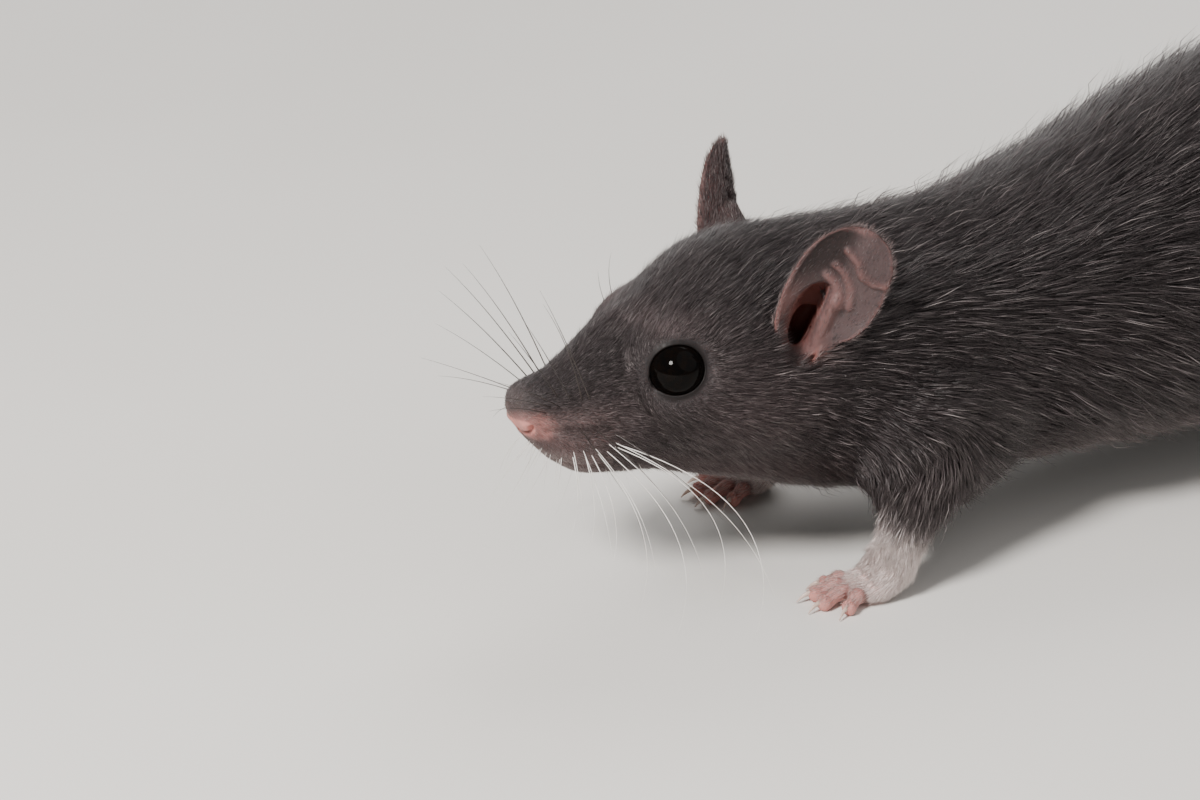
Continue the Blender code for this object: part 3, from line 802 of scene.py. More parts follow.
@dataclass
class Ear:
    """A thin leaf of skin, rolled at its base, with a hollow, folds and a canal."""

    side: int
    base: tuple
    up: tuple
    across: tuple = (0.72, 0.68, -0.12)
    height: float = 13.7
    rise_marks: tuple = (-0.2, 0, 0.19, 0.38, 0.57, 0.75, 0.86, 1)
    front_width: tuple = (4.6, 5.6, 6.3, 6.2, 5.9, 5.7, 5.6, 5)
    rear_width: tuple = (0.8, 1.2, 3.4, 4.5, 5, 5.4, 5.5, 4.6)
    front_curl: tuple = (120, 100, 80, 68, 58, 50, 46, 40)
    rear_curl: tuple = (50, 40, 28, -15, -26, -34, -42, -48)
    lean_back: float = 1.4
    thickness: float = 0.40
    hollow_depth: float = 2.3
    rows: int = 76
    columns: int = 52
    folds: tuple = (
        Fold(((5.6, 0.15), (3.6, 0), (1.2, 0), (-0.4, -0.05), (-0.95, -0.7), (-0.5, -1.8)), 1, 0.52),
        Fold(((7.9, -1.5), (7.2, -0.5), (6.4, 0.2), (5.2, 0.7)), 0.55, 0.42),
        Fold(((9.2, -1.2), (8.6, 0.1), (7.1, 1.2), (5.2, 1.7)), 0.46, 0.30),
        Fold(((11, -0.5), (10.2, 0.9), (8.9, 1.8), (8.4, 3.1), (8.4, 4.2)), 0.46, 0.32),
    )

    def axes(self) -> tuple[Array, Array, Array, Array]:
        """Base point, and the ear's directions up, across to its rear rim and into its open side."""
        mirror = np.array([1.0, self.side, 1.0])
        base = SPINE.head_point(mirror * self.base)
        up = unit(SPINE.head_direction(mirror * self.up))
        across = SPINE.head_direction(mirror * self.across)
        across = unit(across - (across @ up) * up)
        return base, up, across, np.cross(up, across) * -self.side

    def leaf(self, rise: Array, spread: Array) -> tuple[Array, Array, Array]:
        """How far points of the leaf lie up, across and forwards, before its hollow and folds.

        Across is the radius times the sine of the curl, and forwards is the radius times one minus
        its cosine; the radius is the width over the curl, so the width stays as it is when rolled.

        Args:
            rise: Share of the height, from below the base to 1 at the tip.
            spread: From -1 at the front rim to 1 at the rear rim.

        Returns:
            Up, across and forwards, in millimetres.
        """
        front, rear, front_curl, rear_curl = (
            smooth_curve(self.rise_marks, values, rise)
            for values in (self.front_width, self.rear_width, self.front_curl, self.rear_curl)
        )
        tip_rounding = np.sqrt(np.clip(1 - np.abs(rise) ** 4, 0.01, 1))
        width = np.where(spread < 0, front, rear) * tip_rounding
        curl = np.radians(np.where(spread < 0, front_curl, rear_curl))
        curl = np.where(np.abs(curl) < 0.01, 0.01, curl)
        radius = width / curl
        forwards = radius * (1 - np.cos(curl * spread)) - self.lean_back * rise**2
        return self.height * rise, radius * np.sin(curl * spread), forwards

    @staticmethod
    def hollow(up: Array, across: Array) -> Array:
        """Share of the hollow over the canal: straight behind, bulging forwards, tapered below."""
        along = np.clip((up - 2.8) / 4.2, -1, 1)
        bulge = np.sqrt(1 - along**2)
        front, rear = -0.8 - 3.2 * bulge**0.8, -0.75 + 0.2 * bulge
        within = ramp(across, front - 0.15, front + 0.75) * ramp(across, rear, rear - 0.55)
        return within * ramp(bulge, 0.1, 0.45)

    def ridges(self, up: Array, across: Array) -> Array:
        """Height of the folds at points of the leaf."""
        measures = np.stack([up, across], axis=-1)
        height = np.zeros_like(up)
        for fold in self.folds:
            away = distance_to_line(measures, np.array(fold.line))
            height = height + fold.height * np.exp(-((away / fold.width) ** 2))
        return height

    def middle(self, rise: Array, spread: Array) -> Array:
        """The leaf's middle surface, with its hollow pressed in and its folds raised.

        Args:
            rise: Share of the height.
            spread: From -1 at the front rim to 1 at the rear one.

        Returns:
            Points on the same grid.
        """
        base, up, across, forward = self.axes()
        high, sideways, cupped = self.leaf(rise, spread)
        wrinkle = 0.05 * np.sin(38 * rise + 3 * spread) * ramp(spread, 0.1, 0.6) * ramp(rise, 0.9, 0.6)
        depth = self.hollow_depth * (0.45 + 0.55 * ramp(high, 7, 3.6))
        cupped = cupped + self.ridges(high, sideways) - depth * self.hollow(high, sideways) + wrinkle
        return base + high[..., None] * up + sideways[..., None] * across + cupped[..., None] * forward

    def cup_share(self, points: Array) -> Array:
        """How far points of the head lie in the hollow of the ear, from 0 to 1."""
        base, up, across, forward = self.axes()
        offset = points - base
        rise, beside, ahead = offset @ up / self.height, offset @ across, offset @ forward
        return (
            ramp(ahead, -0.8, 0.2)
            * ramp(ahead, 4.6, 3.8)
            * ramp(beside, -4.9, -4.2)
            * ramp(beside, 2.2, 1.2)
            * ramp(rise, -0.14, -0.06)
            * (rise < 0.8)
        )

    def form(self) -> Form:
        """The leaf as a closed shell: each ring goes up its front face and back down its rear one."""
        rise = (1 - 1.15 * np.linspace(1, 0, self.rows) ** 1.5)[:, None]
        spread = -np.cos(np.linspace(0, math.pi, self.columns))[None]
        rise, spread = np.broadcast_arrays(rise, spread)
        middle = self.middle(rise, spread)
        _, up, across, forward = self.axes()
        normal = unit(np.cross(np.gradient(middle, axis=0), np.gradient(middle, axis=1)))
        normal = normal * np.sign(np.sum(normal * forward))
        rim = np.clip(1 - spread**2, 0, 1) ** 0.25 * np.clip(1 - rise**6, 0, 1) ** 0.3
        roll = 1 + 0.7 * np.maximum(bell(np.abs(spread), 0.93, 0.06), bell(rise, 0.965, 0.025))
        half = 0.5 * self.thickness * roll * (0.85 + 0.5 * ramp(rise, 0.3, -0.1))
        thick = (half * rim)[..., None] * normal
        rings = np.concatenate([middle + thick, (middle - thick)[:, -2:0:-1]], axis=1)

        def both(grid: Array) -> Array:
            return np.concatenate([grid, grid[:, -2:0:-1]], axis=1)

        front_face = both(np.ones_like(rise)).copy()
        front_face[:, self.columns :] = 0
        rise, spread = both(rise), both(spread)
        high, sideways, _ = self.leaf(rise, spread)
        flow = up + 0.5 * np.abs(spread)[..., None] * across
        # The rim, the front wall and the folds are pinker and the rim paler: pink skin, partly painted light
        # where they catch the lamp.
        edge = np.maximum(ramp(np.abs(spread), 0.88, 1), ramp(rise, 0.93, 0.99))
        ridge = np.clip(self.ridges(high, sideways) / 0.5, 0, 1) * front_face
        shaded_hollow = self.hollow(high, sideways) * front_face
        wall = ramp(sideways, -2.6, -4.6) * ramp(rise, 0.62, 0.3) * front_face
        pink = 0.03 + 0.16 * wall + 0.14 * ridge + 0.16 * edge + 0.03 * (1 - front_face)
        pink = np.maximum(pink, 0.85 * shaded_hollow)
        # Painted shade: the upper inside of the ear darkens except on the rim and the folds, and the hollow
        # over the canal darkens fully.
        shade = 0.8 * ramp(rise, 0.35, 0.7) * ramp(sideways, 1, -1)
        dark = np.maximum(0.94 * shaded_hollow, shade * (1 - edge) * (1 - ridge) * front_face)
        furred = 1 - front_face
        density = 7 + 20 * edge + 16 * furred + 24 * ramp(rise, 0.3, 0) * furred
        length = 0.65 + 0.35 * furred + 0.9 * ramp(rise, 0.35, 0) * furred
        pale = np.clip(0.4 * edge + 0.45 * front_face + 0.05, 0, 1)
        given = traits(rings, flow, length, density * (1 - shaded_hollow), pale, 0, np.clip(pink, 0, 1), dark)
        across_map = 0.60 if self.side > 0 else 0.70
        return loft(Part.EAR, rings, Patch(across_map, 0.40, 0.055, 0.16), given)

    def canal(self) -> Form:
        """The canal: a flattened funnel from the bottom of the hollow towards the skull's middle."""
        base, up, across, forward = self.axes()
        mouth = base + 2 * up - 2.1 * across - 0.3 * forward
        inner = SPINE.head_point((28.5, self.side * 4, 0.5))
        inward = unit(inner - mouth)
        depth = np.array([0.0, 0.8, 2.0, 3.6, 5.2])
        path = mouth + depth[:, None] * inward
        half = np.array([(1.1, 2.3), (1.15, 2.3), (1.0, 1.9), (0.8, 1.3), (0.5, 0.8)])
        rings = tube_rings(path, half, across, 40, np.linspace(0, 4, 26))
        # Painted shade: pink and dark all over, so the canal takes the shaded hollow colour.
        given = traits(rings, inward, 0.3, 0, pink=1, dark=1)
        return loft(Part.CANAL, rings, Patch(0.80, 0.40, 0.03, 0.08), given)

    def pocket(self) -> Form:
        """What is cleared from the head in front of the leaf, so that its hollow lies open."""
        rise = np.linspace(-0.088, 0.55, 40)[:, None]
        spread = np.linspace(-0.74, 0.30, 30)[None]
        back = self.middle(*np.broadcast_arrays(rise, spread))
        _, up, _, forward = self.axes()
        steps = np.array([0.5, 1.0, 1.6, 2.4, 3.4, 5.0])
        beside = [back[:, end, None] + steps[None, :, None] * forward for end in (-1, 0)]
        ahead = (back + 6.5 * forward)[:, ::-1]
        rings = np.concatenate([back, beside[0], ahead, beside[1][:, ::-1]], axis=1)
        reach = np.concatenate([0 * spread[0], steps, 6.5 + 0 * spread[0], steps[::-1]])
        # Painted shade: the cleared skin darkens towards the shaded hollow colour close to the leaf, deep in
        # the pocket.
        shaded_hollow = ramp(reach, 2.4, 0.8) * np.ones((40, 1))
        given = traits(rings, up, 0.5, 40 * (1 - shaded_hollow), 0.4, 0, 0.2 + 0.7 * shaded_hollow, 0.9 * shaded_hollow)
        return loft(Part.CANAL, rings, Patch(0.84, 0.44, 0.06, 0.08), given)


# --- Legs, feet and tail ---


@dataclass(frozen=True)
class Digit:
    """A toe: its root behind the knuckles and out from the foot's middle, its turn and its length."""

    behind: float
    out: float
    turn: float
    length: float


@dataclass
class Limb:
    """A leg or foot along a table.

    Each row holds the place behind, out and up, the half-width, half-depth and depth of the coat,
    the hair's length, the hairs on a square millimetre, and the shares of white and pink.
    """

    part: Part
    rows: Array
    side: int
    ahead: float
    rings: int
    sides: int
    patch: Patch
    digits: tuple = ()
    claw: float = 1.5
    toe_radius: float = 0.95

    def path(self) -> Array:
        """The middle line through the rows."""
        return SPINE.beside(self.rows[:, :3] * (1, self.side, 1) - (self.ahead, 0, 0))

    def form(self) -> Form:
        """The limb's surface, inside the coat's outline by the rows' coat depth."""
        at = np.linspace(0, len(self.rows) - 1, self.rings)
        sizes = self.rows[:, 3:5] - self.rows[:, 5:6]
        rings = tube_rings(self.path(), sizes, (1, 0, 0), self.sides, at)
        row = np.arange(len(self.rows))
        flow = np.gradient(rings.mean(axis=1), axis=0)[:, None]
        length, density, pink = (np.interp(at, row, self.rows[:, k])[:, None] for k in (6, 7, 9))
        white = smooth_curve(row, self.rows[:, 8], at)[:, None]
        sole = ramp(rings[..., 2], 0.9, 0.25)
        density = density * (1 - sole)
        given = traits(rings, flow, length, density, 0.1 * (1 - white), white, np.maximum(pink, sole))
        return loft(self.part, rings, self.patch, given)

    def heading(self) -> tuple[Array, Array, Array]:
        """Where the knuckles are, the level way the foot points, and the way out from the body."""
        path = self.path()
        ahead = unit((path[-1] - path[-3]) * (1, 1, 0))
        return path[-1], ahead, np.array([-ahead[1], ahead[0], 0.0]) * self.side

    def toe_lines(self) -> list[tuple[Array, Array, Array]]:
        """For each toe its root, its direction, and its length and share of the longest one."""
        knuckles, ahead, outward = self.heading()
        lines = []
        for digit in self.digits:
            turn = math.radians(digit.turn) * self.side
            x, y = ahead[:2]
            cos, sin = math.cos(turn), math.sin(turn)
            way = np.array([x * cos - y * sin, x * sin + y * cos, 0.0])
            lines.append((knuckles - digit.behind * ahead + digit.out * outward, way, digit.length))
        return lines

    def toes(self) -> list[Form]:
        """Toes with knuckles, a pad under the end and a rounded tip."""
        forms = []
        share = np.array([-0.28, 0.0, 0.18, 0.36, 0.54, 0.68, 0.82, 0.93, 1.0, 1.03])
        height = np.array([1.2, 1.15, 1.32, 1.42, 1.22, 0.98, 0.86, 0.80, 0.76, 0.74])
        radius = np.array([0.95, 0.93, 0.84, 0.95, 0.78, 0.80, 0.93, 0.84, 0.5, 0.12]) * self.toe_radius
        for root, way, length in self.toe_lines():
            path = root + (share * length)[:, None] * way
            path[:, 2] = height
            across = np.cross(way, UPRIGHT)
            at = np.linspace(0, len(path) - 1, 30)
            rings = tube_rings(path, np.stack([radius * 0.88, radius], axis=1), across, 18, at)
            reach = np.linspace(0, 1, 30)[:, None] * np.ones(18)
            over = ramp(rings[..., 2], 0.9, 1.6)
            density = 26 * over * ramp(reach, 0.97, 0.75)
            given = traits(rings, way, 0.75, density, 0, 0.55, 0.55 + 0.4 * reach)
            forms.append(loft(Part.TOE, rings, Patch(0.86, 0.40, 0.03, 0.03), given))
        return forms

    def claws(self) -> tuple[Array, Array]:
        """Claws of the whole foot: cones that curve down from the toes' ends."""
        forms = []
        for root, way, length in self.toe_lines():
            share = np.linspace(0, 1, 9)
            path = root + (length - 0.45 + share * (self.claw + 0.35))[:, None] * way
            path[:, 2] = 0.98 + 0.12 * np.sin(math.pi * share) - 0.80 * share**2
            radius = 0.34 * (1 - share) ** 0.7 + 0.03
            sizes = np.stack([radius * 0.72, radius], axis=1)
            rings = tube_rings(path, sizes, np.cross(way, UPRIGHT), 10, np.arange(9.0))
            forms.append(plain(rings))
        return together(forms)


def both_sides(lead: float, place: tuple, **details) -> list[Limb]:
    """The same limb on both sides of the body.

    Args:
        lead: How far the right one is ahead of the left one.
        place: Height up the unwrap, width and height of its patch there.
        details: The limb's other fields.

    Returns:
        The left limb and the right one.
    """
    return [
        Limb(side=side, ahead=lead * (side < 0), patch=Patch(0.01 + 0.2 * (side < 0), *place), **details)
        for side in SIDES.values()
    ]


def forelegs() -> list[Limb]:
    """Both forelegs, from inside the shoulder to the knuckles."""
    rows = np.array([
        (49.5, 8, 22, 4.6, 6, 1.1, 5, 15, 0, 0),
        (45.4, 11.3, 18.5, 5.2, 6.9, 1.1, 4.8, 17, 0, 0),
        (41, 13.6, 13.6, 4.7, 6, 1, 4.2, 22, 0, 0),
        (38.4, 14.6, 9.6, 3.6, 4.2, 0.75, 3.2, 34, 0.02, 0),
        (37.2, 14.8, 6.6, 2.9, 3, 0.30, 2, 52, 1, 0),
        (36.4, 14.5, 3.8, 2.8, 2.7, 0.18, 1.5, 56, 1, 0.05),
        (34.6, 14.1, 1.75, 2.8, 1.9, 0.10, 1.2, 54, 1, 0.15),
        (32.6, 13.8, 1.15, 2.6, 1.3, 0.05, 1, 44, 1, 0.35),
        (31.6, 13.6, 0.9, 2, 1, 0.05, 0.8, 34, 1, 0.5),
    ])
    digits = (
        Digit(1.2, -1.7, -14, 3.2),
        Digit(0.4, -0.6, 2, 4.1),
        Digit(0.4, 0.7, 18, 4.1),
        Digit(1.2, 1.8, 40, 3.2),
    )
    return both_sides(
        -1, (0.36, 0.13, 0.14), part=Part.FORELEG, rows=rows, rings=84, sides=48, digits=digits
    )


def hindfeet() -> list[Limb]:
    """Both hind feet, from the heel to the knuckles."""
    rows = np.array([
        (133.6, 16.8, 2.4, 1.2, 1.4, 0.1, 1.6, 32, 0.4, 0.2),
        (132.6, 16.8, 2.2, 2.1, 2.3, 0.12, 1.6, 32, 0.5, 0.2),
        (130, 16.9, 2.15, 2.5, 2.4, 0.12, 1.5, 32, 0.7, 0.1),
        (125, 17.3, 1.85, 2.5, 2.1, 0.12, 1.4, 32, 0.95, 0.1),
        (117, 18.5, 1.55, 2.7, 1.8, 0.1, 1.3, 32, 1, 0.15),
        (111, 19.5, 1.2, 3.3, 1.4, 0.08, 1, 30, 1, 0.35),
        (109, 19.8, 0.9, 2.7, 1.1, 0.05, 0.8, 26, 1, 0.5),
    ])
    digits = (
        Digit(4.6, -2.3, -16, 4.6),
        Digit(0.9, -1.9, -4, 7.2),
        Digit(0.4, -0.3, 4, 7.8),
        Digit(0.9, 1.3, 13, 7.2),
        Digit(3.8, 2.3, 30, 5.6),
    )
    return both_sides(
        HIND_LEAD, (0.52, 0.1, 0.06), part=Part.HINDFOOT, rows=rows, rings=70, sides=40, digits=digits
    )


def shins() -> list[Limb]:
    """Both shins, from the knee into the heel."""
    rows = np.array([
        (105.5, 15.6, 10, 3.6, 3.6, 0.9, 4.2, 18, 0, 0),
        (109, 16.2, 9, 4.8, 5.4, 0.9, 4, 18, 0, 0),
        (118, 16.8, 7.2, 4.2, 4.6, 0.8, 3.4, 22, 0, 0),
        (126, 17, 5.4, 3.2, 3.5, 0.55, 2.4, 34, 0.1, 0),
        (130.5, 16.9, 3.4, 2.2, 2.2, 0.3, 1.8, 45, 0.4, 0.1),
    ])
    return both_sides(HIND_LEAD, (0.60, 0.08, 0.1), part=Part.SHIN, rows=rows, rings=34, sides=40)


@dataclass(frozen=True)
class Muscle:
    """A thigh or a shoulder: a leaning egg of (behind, out, height) and its half-sizes."""

    side: int
    centre: tuple
    half: tuple
    tilt: float
    lie: tuple
    length: float
    density: float
    patch: Patch
    coat_depth: float = 1.2
    lead: float = 0.0
    rings: int = 38
    sides: int = 64

    def form(self) -> Form:
        """Rings about the sideways axis of the egg, turned by its tilt."""
        tilt = math.radians(self.tilt)
        along, out, up = (half - self.coat_depth for half in self.half)
        pole = np.linspace(0.06, math.pi - 0.06, self.rings)[:, None]
        turn = (np.arange(self.sides) * 2 * math.pi / self.sides)[None]
        x = np.broadcast_to(out * np.cos(pole), (self.rings, self.sides))
        y, z = along * np.sin(pole) * np.cos(turn), up * np.sin(pole) * np.sin(turn)
        lean = (y * math.cos(tilt) - z * math.sin(tilt), y * math.sin(tilt) + z * math.cos(tilt))
        behind, beside, height = self.centre
        middle = SPINE.beside(np.array((behind - self.lead, self.side * beside, height)))
        rings = middle + np.stack([x, *lean], axis=-1)
        low = ramp(rings[..., 2], 14, 8)
        length, density = self.length - 1.2 * low, self.density + 5 * low
        given = traits(rings, np.array(self.lie), length, density, 0.15 * low)
        return loft(Part.MUSCLE, rings, self.patch, given)


def muscles() -> list[Muscle]:
    """Both shoulders and both thighs; the right thigh is a little further forward."""
    found = []
    for side in SIDES.values():
        lower = 0.12 * (side < 0)
        size, lie, place = (11.5, 7.6, 10.4), (0, 1, -0.45), Patch(0.64, 0.60 + lower, 0.10, 0.11)
        found.append(Muscle(side, (43.4, 9.8, 15.5), size, 20, lie, 4.9, 20, place, 1))
        size, lie, place = (17.5, 9.6, 14.6), (0, 1, -0.75), Patch(0.50, 0.60 + lower, 0.11, 0.11)
        lead = HIND_LEAD * (side < 0)
        found.append(Muscle(side, (112.5, 13.5, 20.5), size, 30, lie, 6.4, 11, place, 1.25, lead))
    return found


@dataclass
class Tail:
    """The tail, ringed with fine scales, from inside the rump to its tip."""

    rows: tuple = (
        (134, 0, 18, 5.6),
        (142, 0.1, 15.6, 5),
        (150, 0.3, 11.7, 4.35),
        (158, 0.6, 7.3, 3.65),
        (168, 1.8, 3.8, 3),
        (180, 4.4, 2.2, 2.4),
        (195, 9.8, 1.85, 2.05),
        (210, 16.8, 1.5, 1.7),
        (225, 24.6, 1.2, 1.35),
        (239, 31.8, 0.9, 1),
        (249, 36.6, 0.55, 0.6),
    )
    coat_depth: float = 0.12
    rings: int = 420
    sides: int = 18
    scale_pitch: float = 0.78

    def form(self) -> Form:
        """A tube whose radius rises along each ring of scales and drops back at its end."""
        rows = np.array(self.rows)
        path = SPINE.beside(rows[:, :3])
        marks = np.linspace(0, len(path) - 1, 1500)
        line = through_points(path, marks)
        travelled = np.concatenate([[0], np.cumsum(np.linalg.norm(np.diff(line, axis=0), axis=1))])
        distance = np.linspace(0, travelled[-1], self.rings)
        at = np.interp(distance, travelled, marks)
        radius = rows[:, 3] - self.coat_depth
        rings = tube_rings(path, np.stack([radius, radius], axis=1), (1, 0, 0), self.sides, at)
        middle = rings.mean(axis=1, keepdims=True)
        saw = np.mod(distance / self.scale_pitch, 1) - 0.5
        bare = ramp(distance, 17, 37)
        size = 1 + 0.035 * saw * bare
        rings = middle + (rings - middle) * size[:, None, None]
        flow = np.gradient(middle[:, 0], axis=0)[:, None]
        grown = 1 - bare[:, None]
        length, density = 0.9 + 2.7 * grown**1.3, 5 + 14 * grown
        given = traits(rings, flow, length, density, 0.3 * (1 - grown), 0, 0.36 * (1 - grown))
        return loft(Part.TAIL, rings, Patch(0.01, 0.93, 0.6, 0.045), given)


# --- Lids and sockets ---


def lid(eye: Eye, side: int) -> Form:
    """The rim of the lids: a rounded bead round the ball, drawn out to a corner at the front."""
    centre, axis = eye.centre(side), eye.axis(side)
    ahead, up = eye.around(side)
    turn = np.linspace(0, 2 * math.pi, 112, endpoint=False)
    corner = np.mod(turn + 0.25 + math.pi, 2 * math.pi) - math.pi
    opening = eye.opening + eye.widening * np.cos(2 * turn) + 0.17 * np.exp(-((corner / 0.24) ** 2))
    outward = np.cos(turn)[:, None] * ahead + np.sin(turn)[:, None] * up
    bead = np.arange(14) * 2 * math.pi / 14
    spine_way = np.cos(opening)[:, None] * axis + np.sin(opening)[:, None] * outward
    slide = -np.sin(opening)[:, None] * axis + np.cos(opening)[:, None] * outward
    middle = centre + (eye.radius + 0.13) * spine_way
    high = eye.rim_radius * np.sin(bead)[None, :, None] * spine_way[:, None]
    wide = 1.7 * eye.rim_radius * np.cos(bead)[None, :, None] * slide[:, None]
    rings = middle[:, None] + high + wide
    count, sides = rings.shape[:2]
    closed = np.concatenate([rings, rings[:1]])
    outer = ramp(np.cos(bead), -0.3, 0.5)
    given = traits(closed, outward[[*range(count), 0]][:, None], 0.5, 110 * outer, dark=1 - 0.2 * outer)
    whole = loft(Part.LID, closed, Patch(0.92, 0.40, 0.05, 0.02), given)
    keep = (whole.triangles < (count + 1) * sides).all(axis=1)
    wrap = np.where(whole.triangles >= count * sides, whole.triangles - count * sides, whole.triangles)
    carried = Traits(*(getattr(whole.traits, name)[: count * sides] for name in Traits.NAMES))
    return Form(Part.LID, rings.reshape(-1, 3), wrap[keep], whole.unwrap[keep], carried).outward()


def ball(centre: Array, axis: Array, radius: float, segments: int, rows: int) -> Array:
    """Rings of a round ball about an axis, from its front pole to its back one."""
    pole = np.linspace(0.02, math.pi - 0.02, rows)[:, None, None]
    turn = (np.arange(segments) * 2 * math.pi / segments)[None, :, None]
    first = unit(np.cross(axis, UPRIGHT))
    second = np.cross(axis, first)
    return centre + radius * (
        np.cos(pole) * axis + np.sin(pole) * (np.cos(turn) * first + np.sin(turn) * second)
    )


def socket(eye: Eye, side: int) -> Form:
    """The hollow that the eyeball sits in."""
    rings = ball(eye.centre(side), eye.axis(side), eye.radius + 0.03, 72, 40)
    # Painted shade: dark all over in the hollow round the eyeball.
    given = traits(rings, eye.axis(side), 0.5, 110, dark=1)
    return loft(Part.SOCKET, rings, Patch(0.92, 0.44, 0.03, 0.03), given)


# --- The one skin ---


@dataclass
class Surface:
    """A finished surface as arrays: points, triangles, unwrap, traits and normals."""

    points: Array
    triangles: Array
    unwrap: Array
    part: Array
    traits: Traits
    normals: Array


@dataclass
class Skin:
    """The one skin: the body, forms that are cut from it or grafted onto it in steps, and its joins."""

    body: Form
    steps: tuple[tuple[str, list[Form]], ...]

    def join(self) -> Surface:
        """Run the Booleans and read the result back as triangles."""
        whole = cutter_or_graft(self.body)
        helpers = []
        for operation, form in ((operation, form) for operation, forms in self.steps for form in forms):
            helper = cutter_or_graft(form)
            modifier = whole.modifiers.new(operation.lower(), "BOOLEAN")
            modifier.operation, modifier.solver, modifier.object = operation, "MANIFOLD", helper
            helpers.append(helper)
        graph = bpy.context.evaluated_depsgraph_get()
        mesh = bpy.data.meshes.new_from_object(whole.evaluated_get(graph))
        surface = self.read(mesh)
        for helper in (whole, *helpers):
            data = helper.data
            bpy.data.objects.remove(helper)
            bpy.data.meshes.remove(data)
        bpy.data.meshes.remove(mesh)
        return surface

    @staticmethod
    def read(mesh: bpy.types.Mesh) -> Surface:
        """Arrays of a mesh, in millimetres and the build frame."""
        mesh.calc_loop_triangles()
        count, faces = len(mesh.vertices), len(mesh.loop_triangles)

        def fetch(source, label: str, shape: tuple, kind: type) -> Array:
            values = np.empty(int(np.prod(shape)), kind)
            source.foreach_get(label, values)
            return values.reshape(shape)

        points = fetch(mesh.vertices, "co", (count, 3), np.float32) / MM + MIDDLE
        triangles = fetch(mesh.loop_triangles, "vertices", (faces, 3), np.int32)
        corners = fetch(mesh.loop_triangles, "loops", (faces, 3), np.int32)
        polygon = fetch(mesh.loop_triangles, "polygon_index", (faces,), np.int32)
        unwrap = fetch(mesh.uv_layers["Wrap"].uv, "vector", (len(mesh.loops), 2), np.float32)[corners]
        part = fetch(mesh.attributes["face_part"].data, "value", (len(mesh.polygons),), np.int32)[polygon]
        carried = []
        for name in Traits.NAMES:
            wide = name == "flow"
            shape, label = ((count, 3), "vector") if wide else ((count,), "value")
            carried.append(fetch(mesh.attributes[name].data, label, shape, np.float32).astype(float))
        return Surface(points, triangles, unwrap, part, Traits(*carried), np.zeros_like(points))

    @staticmethod
    def edges(triangles: Array) -> Array:
        """Each edge of the triangles once."""
        pairs = np.concatenate([triangles[:, [0, 1]], triangles[:, [1, 2]], triangles[:, [2, 0]]])
        pairs = np.sort(pairs, axis=1).astype(np.int64)
        keys = np.unique(pairs[:, 0] * (triangles.max() + 1) + pairs[:, 1])
        return np.stack([keys // (triangles.max() + 1), keys % (triangles.max() + 1)], axis=1)

    def rounding(self, surface: Surface, edges: Array) -> Array:
        """Find the joins and spread their reach outwards along the edges.

        Args:
            surface: The joined surface, whose triangles know their part.
            edges: Its edges.

        Returns:
            Share of the rounding at each point: 1 on a join, falling to 0 at the join's reach.
        """
        count = len(surface.points)
        highest, lowest = np.zeros(count, int), np.full(count, 99)
        for k in range(3):
            np.maximum.at(highest, surface.triangles[:, k], surface.part)
            np.minimum.at(lowest, surface.triangles[:, k], surface.part)
        reach_of = np.zeros(len(Part))
        for part, reach in FILLET.items():
            reach_of[part] = reach
        full = np.where(highest != lowest, reach_of[highest], 0)
        left = full.copy()
        span = np.linalg.norm(surface.points[edges[:, 0]] - surface.points[edges[:, 1]], axis=1)
        for _ in range(16):
            before = left.copy()
            for a, b in ((0, 1), (1, 0)):
                offered = before[edges[:, a]] - span
                better = offered > left[edges[:, b]]
                np.maximum.at(left, edges[better, b], offered[better])
                np.maximum.at(full, edges[better, b], full[edges[better, a]])
        return np.clip(left / np.maximum(full, 1e-6), 0, 1)

    def smooth(self, surface: Surface, rounds: int = 60, mark_rounds: int = 14) -> None:
        """Draw points near a join, and their traits, towards the mean of their neighbours.

        Args:
            surface: Changed in place.
            rounds: How often the points and the lie of the hair are drawn.
            mark_rounds: How often the other traits are.
        """
        edges = self.edges(surface.triangles)
        share = self.rounding(surface, edges)
        count = len(surface.points)
        first, second = edges[:, 0], edges[:, 1]
        neighbours = np.maximum(np.bincount(first, minlength=count) + np.bincount(second, minlength=count), 1)

        def mean(values: Array) -> Array:
            total = np.bincount(first, values[second], count) + np.bincount(second, values[first], count)
            return total / neighbours

        weight = 0.6 * np.sqrt(share)
        arrays = [surface.points, surface.traits.flow]
        flat = [getattr(surface.traits, name) for name in Traits.NAMES if name != "flow"]
        for _ in range(rounds):
            for array in arrays:
                for k in range(3):
                    array[:, k] += weight * (mean(array[:, k]) - array[:, k])
        for _ in range(mark_rounds):
            for array in flat:
                array += weight * (mean(array) - array)

    @staticmethod
    def normals(surface: Surface) -> Array:
        """Normals at the points: the sum of the triangles' own, each as large as its area."""
        a, b, c = (surface.points[surface.triangles[:, k]] for k in range(3))
        face = np.cross(b - a, c - a)
        total = np.zeros_like(surface.points)
        for k in range(3):
            for axis in range(3):
                total[:, axis] += np.bincount(surface.triangles[:, k], face[:, axis], len(total))
        return unit(total)

    def build(self) -> Surface:
        """The one closed skin: joined, rounded, flat under the feet and with its normals."""
        surface = self.join()
        self.smooth(surface)
        surface.points[:, 2] = np.maximum(surface.points[:, 2], 0)
        surface.normals = self.normals(surface)
        surface.traits.flow = unit(surface.traits.flow)
        return surface


# --- The coat ---


@dataclass(frozen=True)
class CoatRegion:
    """One piece of the coat: parts of the body, stretch behind the nose, and side (0 for both)."""

    name: str
    parts: tuple
    start: float
    end: float
    side: int = 0


